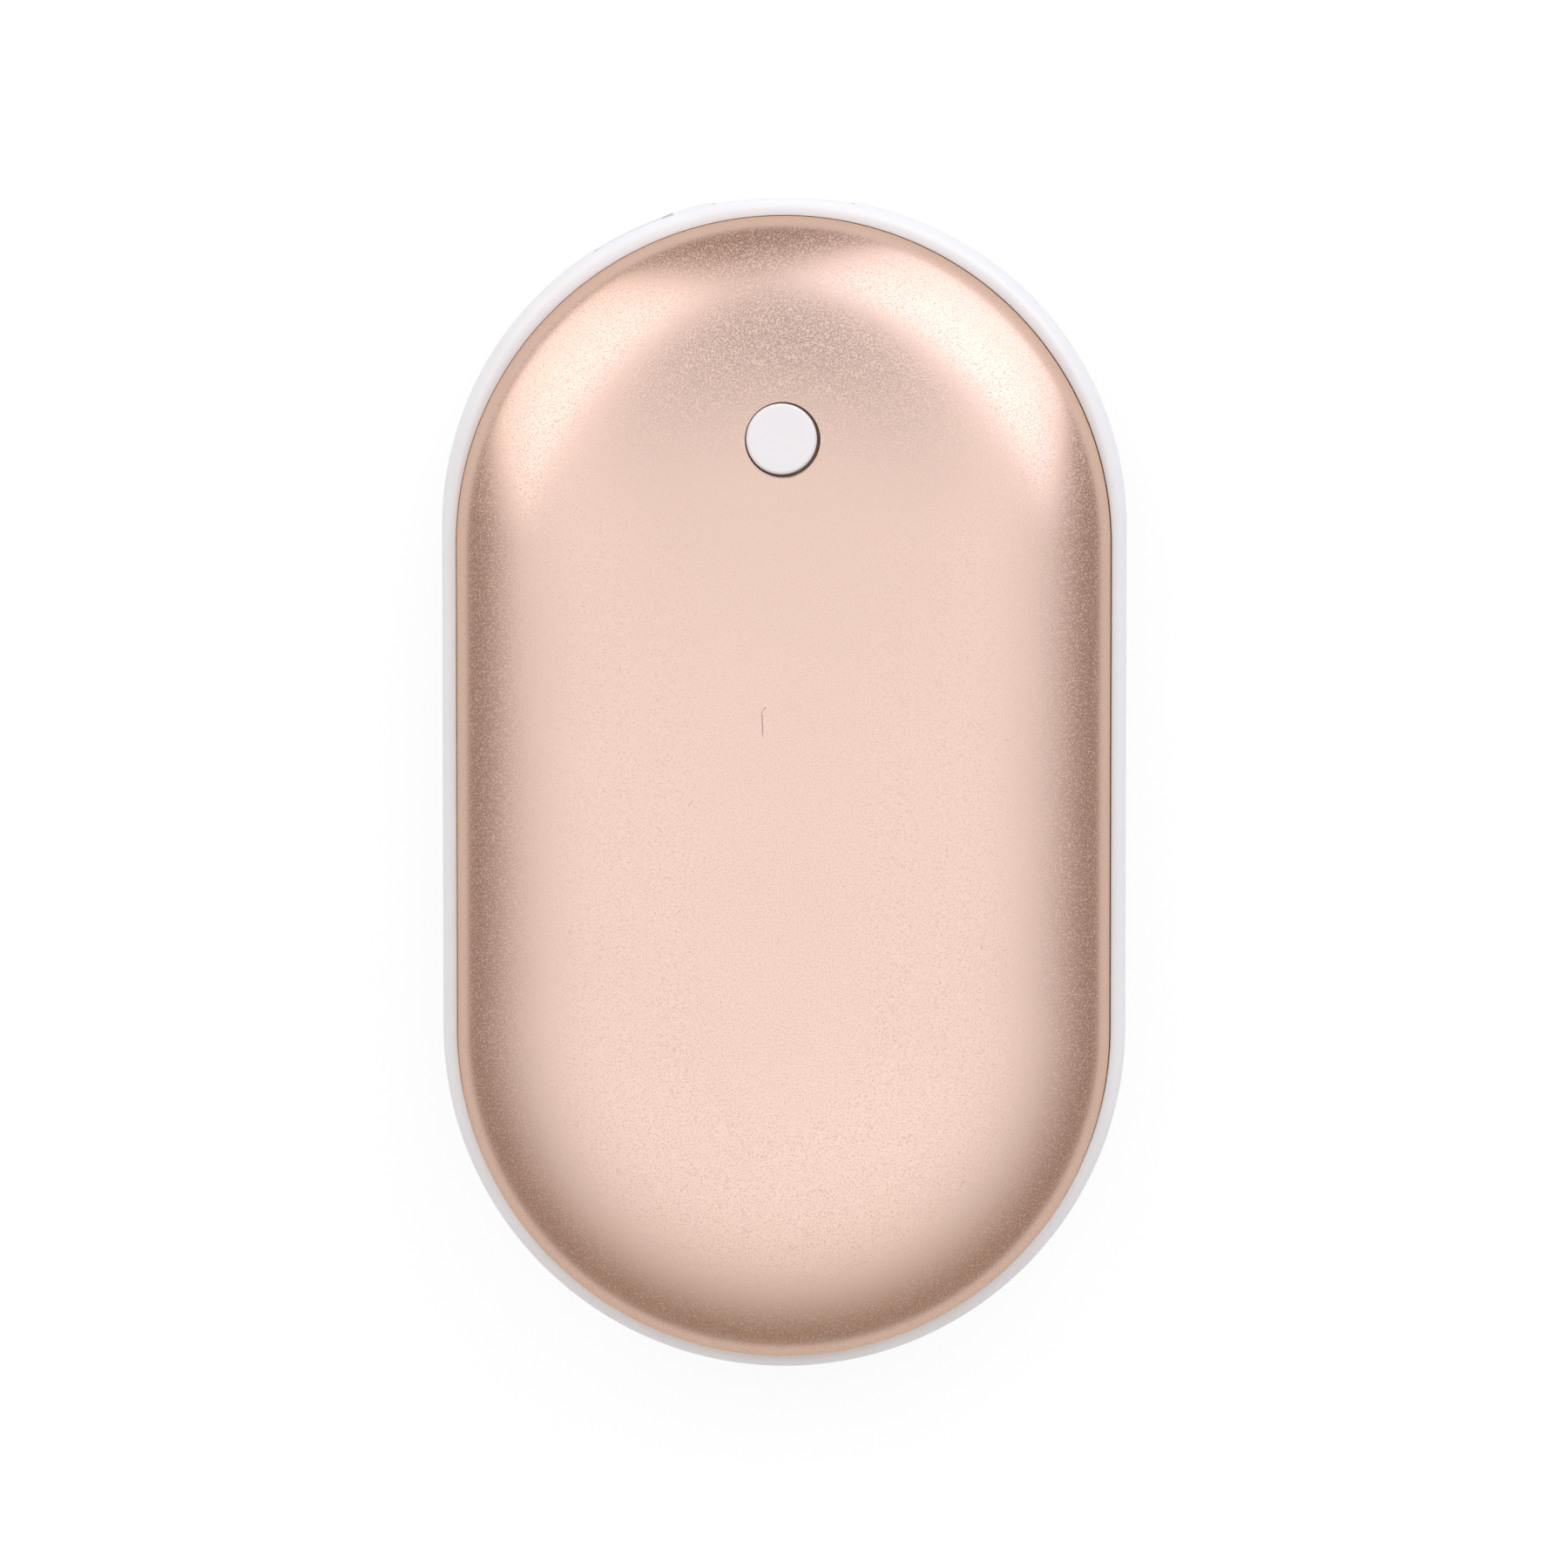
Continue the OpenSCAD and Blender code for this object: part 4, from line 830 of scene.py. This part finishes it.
def board():
    """Green solder mask over copper tracks, which show through as slightly lighter bands."""
    material, s, bsdf = new_material("board_green")
    where = s.add("ShaderNodeTexCoord").outputs["Object"]
    tracks = s.add("ShaderNodeTexBrick", {"offset": 0.5}, Vector=where, Scale=260.0,
                   Mortar_Size=0.06, Color1=(0.03, 0.17, 0.08, 1), Color2=(0.032, 0.18, 0.085, 1),
                   Mortar=(0.042, 0.215, 0.1, 1))
    tone = tinted(s, where, (0.95, 0.95, 0.95), 0.05, 90.0)
    s.put(bsdf, "Base Color", s.mix(1.0, tracks.outputs["Color"], tone, "MULTIPLY"))
    grain = s.add("ShaderNodeTexNoise", Vector=where, Scale=3000.0).outputs["Fac"]
    height = s.math("ADD", s.math("MULTIPLY", tracks.outputs["Fac"], 0.6), grain)
    surface(s, bsdf, height, strength=0.3, distance=0.02, rough=(0.3, 0.42), span=(0.3, 1.3))
    return material


def foam():
    """Open foam strip with a coarse, matt skin."""
    material, s, bsdf = new_material("foam")
    where = s.add("ShaderNodeTexCoord").outputs["Object"]
    cells = s.add("ShaderNodeTexVoronoi", Vector=where, Scale=2200.0).outputs["Distance"]
    s.put(bsdf, "Base Color",
          s.ramp(cells, [(0.1, (0.02, 0.02, 0.022)), (0.7, (0.085, 0.085, 0.09))]))
    surface(s, bsdf, cells, strength=0.9, distance=0.12, rough=(0.85, 0.98))
    return material


# Colour, roughness and the rest of each moulded or coated finish
MOULDED = {
    "frame_white": dict(colour=(0.9, 0.935, 0.995), rough=0.34, spread=0.012, soft=0.3, gap="seam"),
    "button_white": dict(colour=(0.89, 0.9, 0.945), rough=0.4, spread=0.01, gap="button"),
    "liner_plastic": dict(colour=(0.8, 0.8, 0.8), rough=0.5),
    "tray_plastic": dict(colour=(0.12, 0.12, 0.13), rough=0.5, spread=0.1),
    "black_plastic": dict(colour=(0.04, 0.04, 0.045), rough=0.42, spread=0.12),
    "socket_plastic": dict(colour=(0.85, 0.83, 0.78), rough=0.4),
    "chip_black": dict(colour=(0.03, 0.03, 0.03), rough=0.55, spread=0.15, pebble=5000.0),
    "chip_ceramic": dict(colour=(0.55, 0.4, 0.26), rough=0.5, spread=0.1, pebble=4000.0),
    "ferrite": dict(colour=(0.12, 0.12, 0.125), rough=0.6, spread=0.2, pebble=3500.0, depth=0.03),
    "led_resin": dict(colour=(0.92, 0.9, 0.75), rough=0.25, soft=0.5, sheen=0.4),
    "cell_wrap": dict(colour=(0.1, 0.32, 0.6), rough=0.3, spread=0.06, pebble=400.0, depth=0.03,
                      sheen=0.5),
    "insulator_paper": dict(colour=(0.85, 0.85, 0.8), rough=0.85, spread=0.04, pebble=1500.0,
                            depth=0.03),
    "heater_film": dict(colour=(0.6, 0.3, 0.05), rough=0.22, spread=0.08, sheen=0.6),
    "fuse_ceramic": dict(colour=(0.8, 0.75, 0.6), rough=0.6, spread=0.05, pebble=2500.0),
    "bead_resin": dict(colour=(0.03, 0.03, 0.03), rough=0.25, spread=0.1, sheen=0.5),
    "lead_red": dict(colour=(0.6, 0.03, 0.02), rough=0.38, spread=0.06),
    "lead_black": dict(colour=(0.02, 0.02, 0.02), rough=0.38, spread=0.1),
    "lead_white": dict(colour=(0.8, 0.8, 0.78), rough=0.38),
}
METALS = {
    "plated_steel": dict(colour=(0.75, 0.75, 0.76), rough=0.24, stretch=(1, 0.08, 1)),
    "screw_steel": dict(colour=(0.6, 0.6, 0.62), rough=0.32),
    "gold_contacts": dict(colour=(0.9, 0.7, 0.35), rough=0.22, stretch=(1, 0.1, 1)),
    "nickel": dict(colour=(0.78, 0.77, 0.74), rough=0.3, stretch=(0.08, 1, 1)),
    "cell_can": dict(colour=(0.7, 0.7, 0.71), rough=0.26, stretch=(1, 0.05, 1)),
    "heater_foil": dict(colour=(0.68, 0.64, 0.58), rough=0.35, stretch=(0.2, 1, 1)),
}


def make_finishes():
    finishes = {"anodised_aluminium": anodised(), "board_green": board(), "foam": foam()}
    for name, facts in MOULDED.items():
        finishes[name] = moulded(name, **facts)
    for name, facts in METALS.items():
        finishes[name] = metal(name, **facts)
    return finishes


def dress(finishes):
    """Gives every node of the CAD model and every new piece the finish of its material slot."""
    for part in frame["record"]["subparts"]:
        node = frame["nodes"][part["node"]]
        for slot in node.material_slots:
            slot.material = finishes[part["material_slot"]]
    for piece in [front_shell, rear_shell, button_cap, snap_dome] + frame_pieces:
        piece.data.materials.clear()
        piece.data.materials.append(finishes[piece["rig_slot"]])


dress(make_finishes())
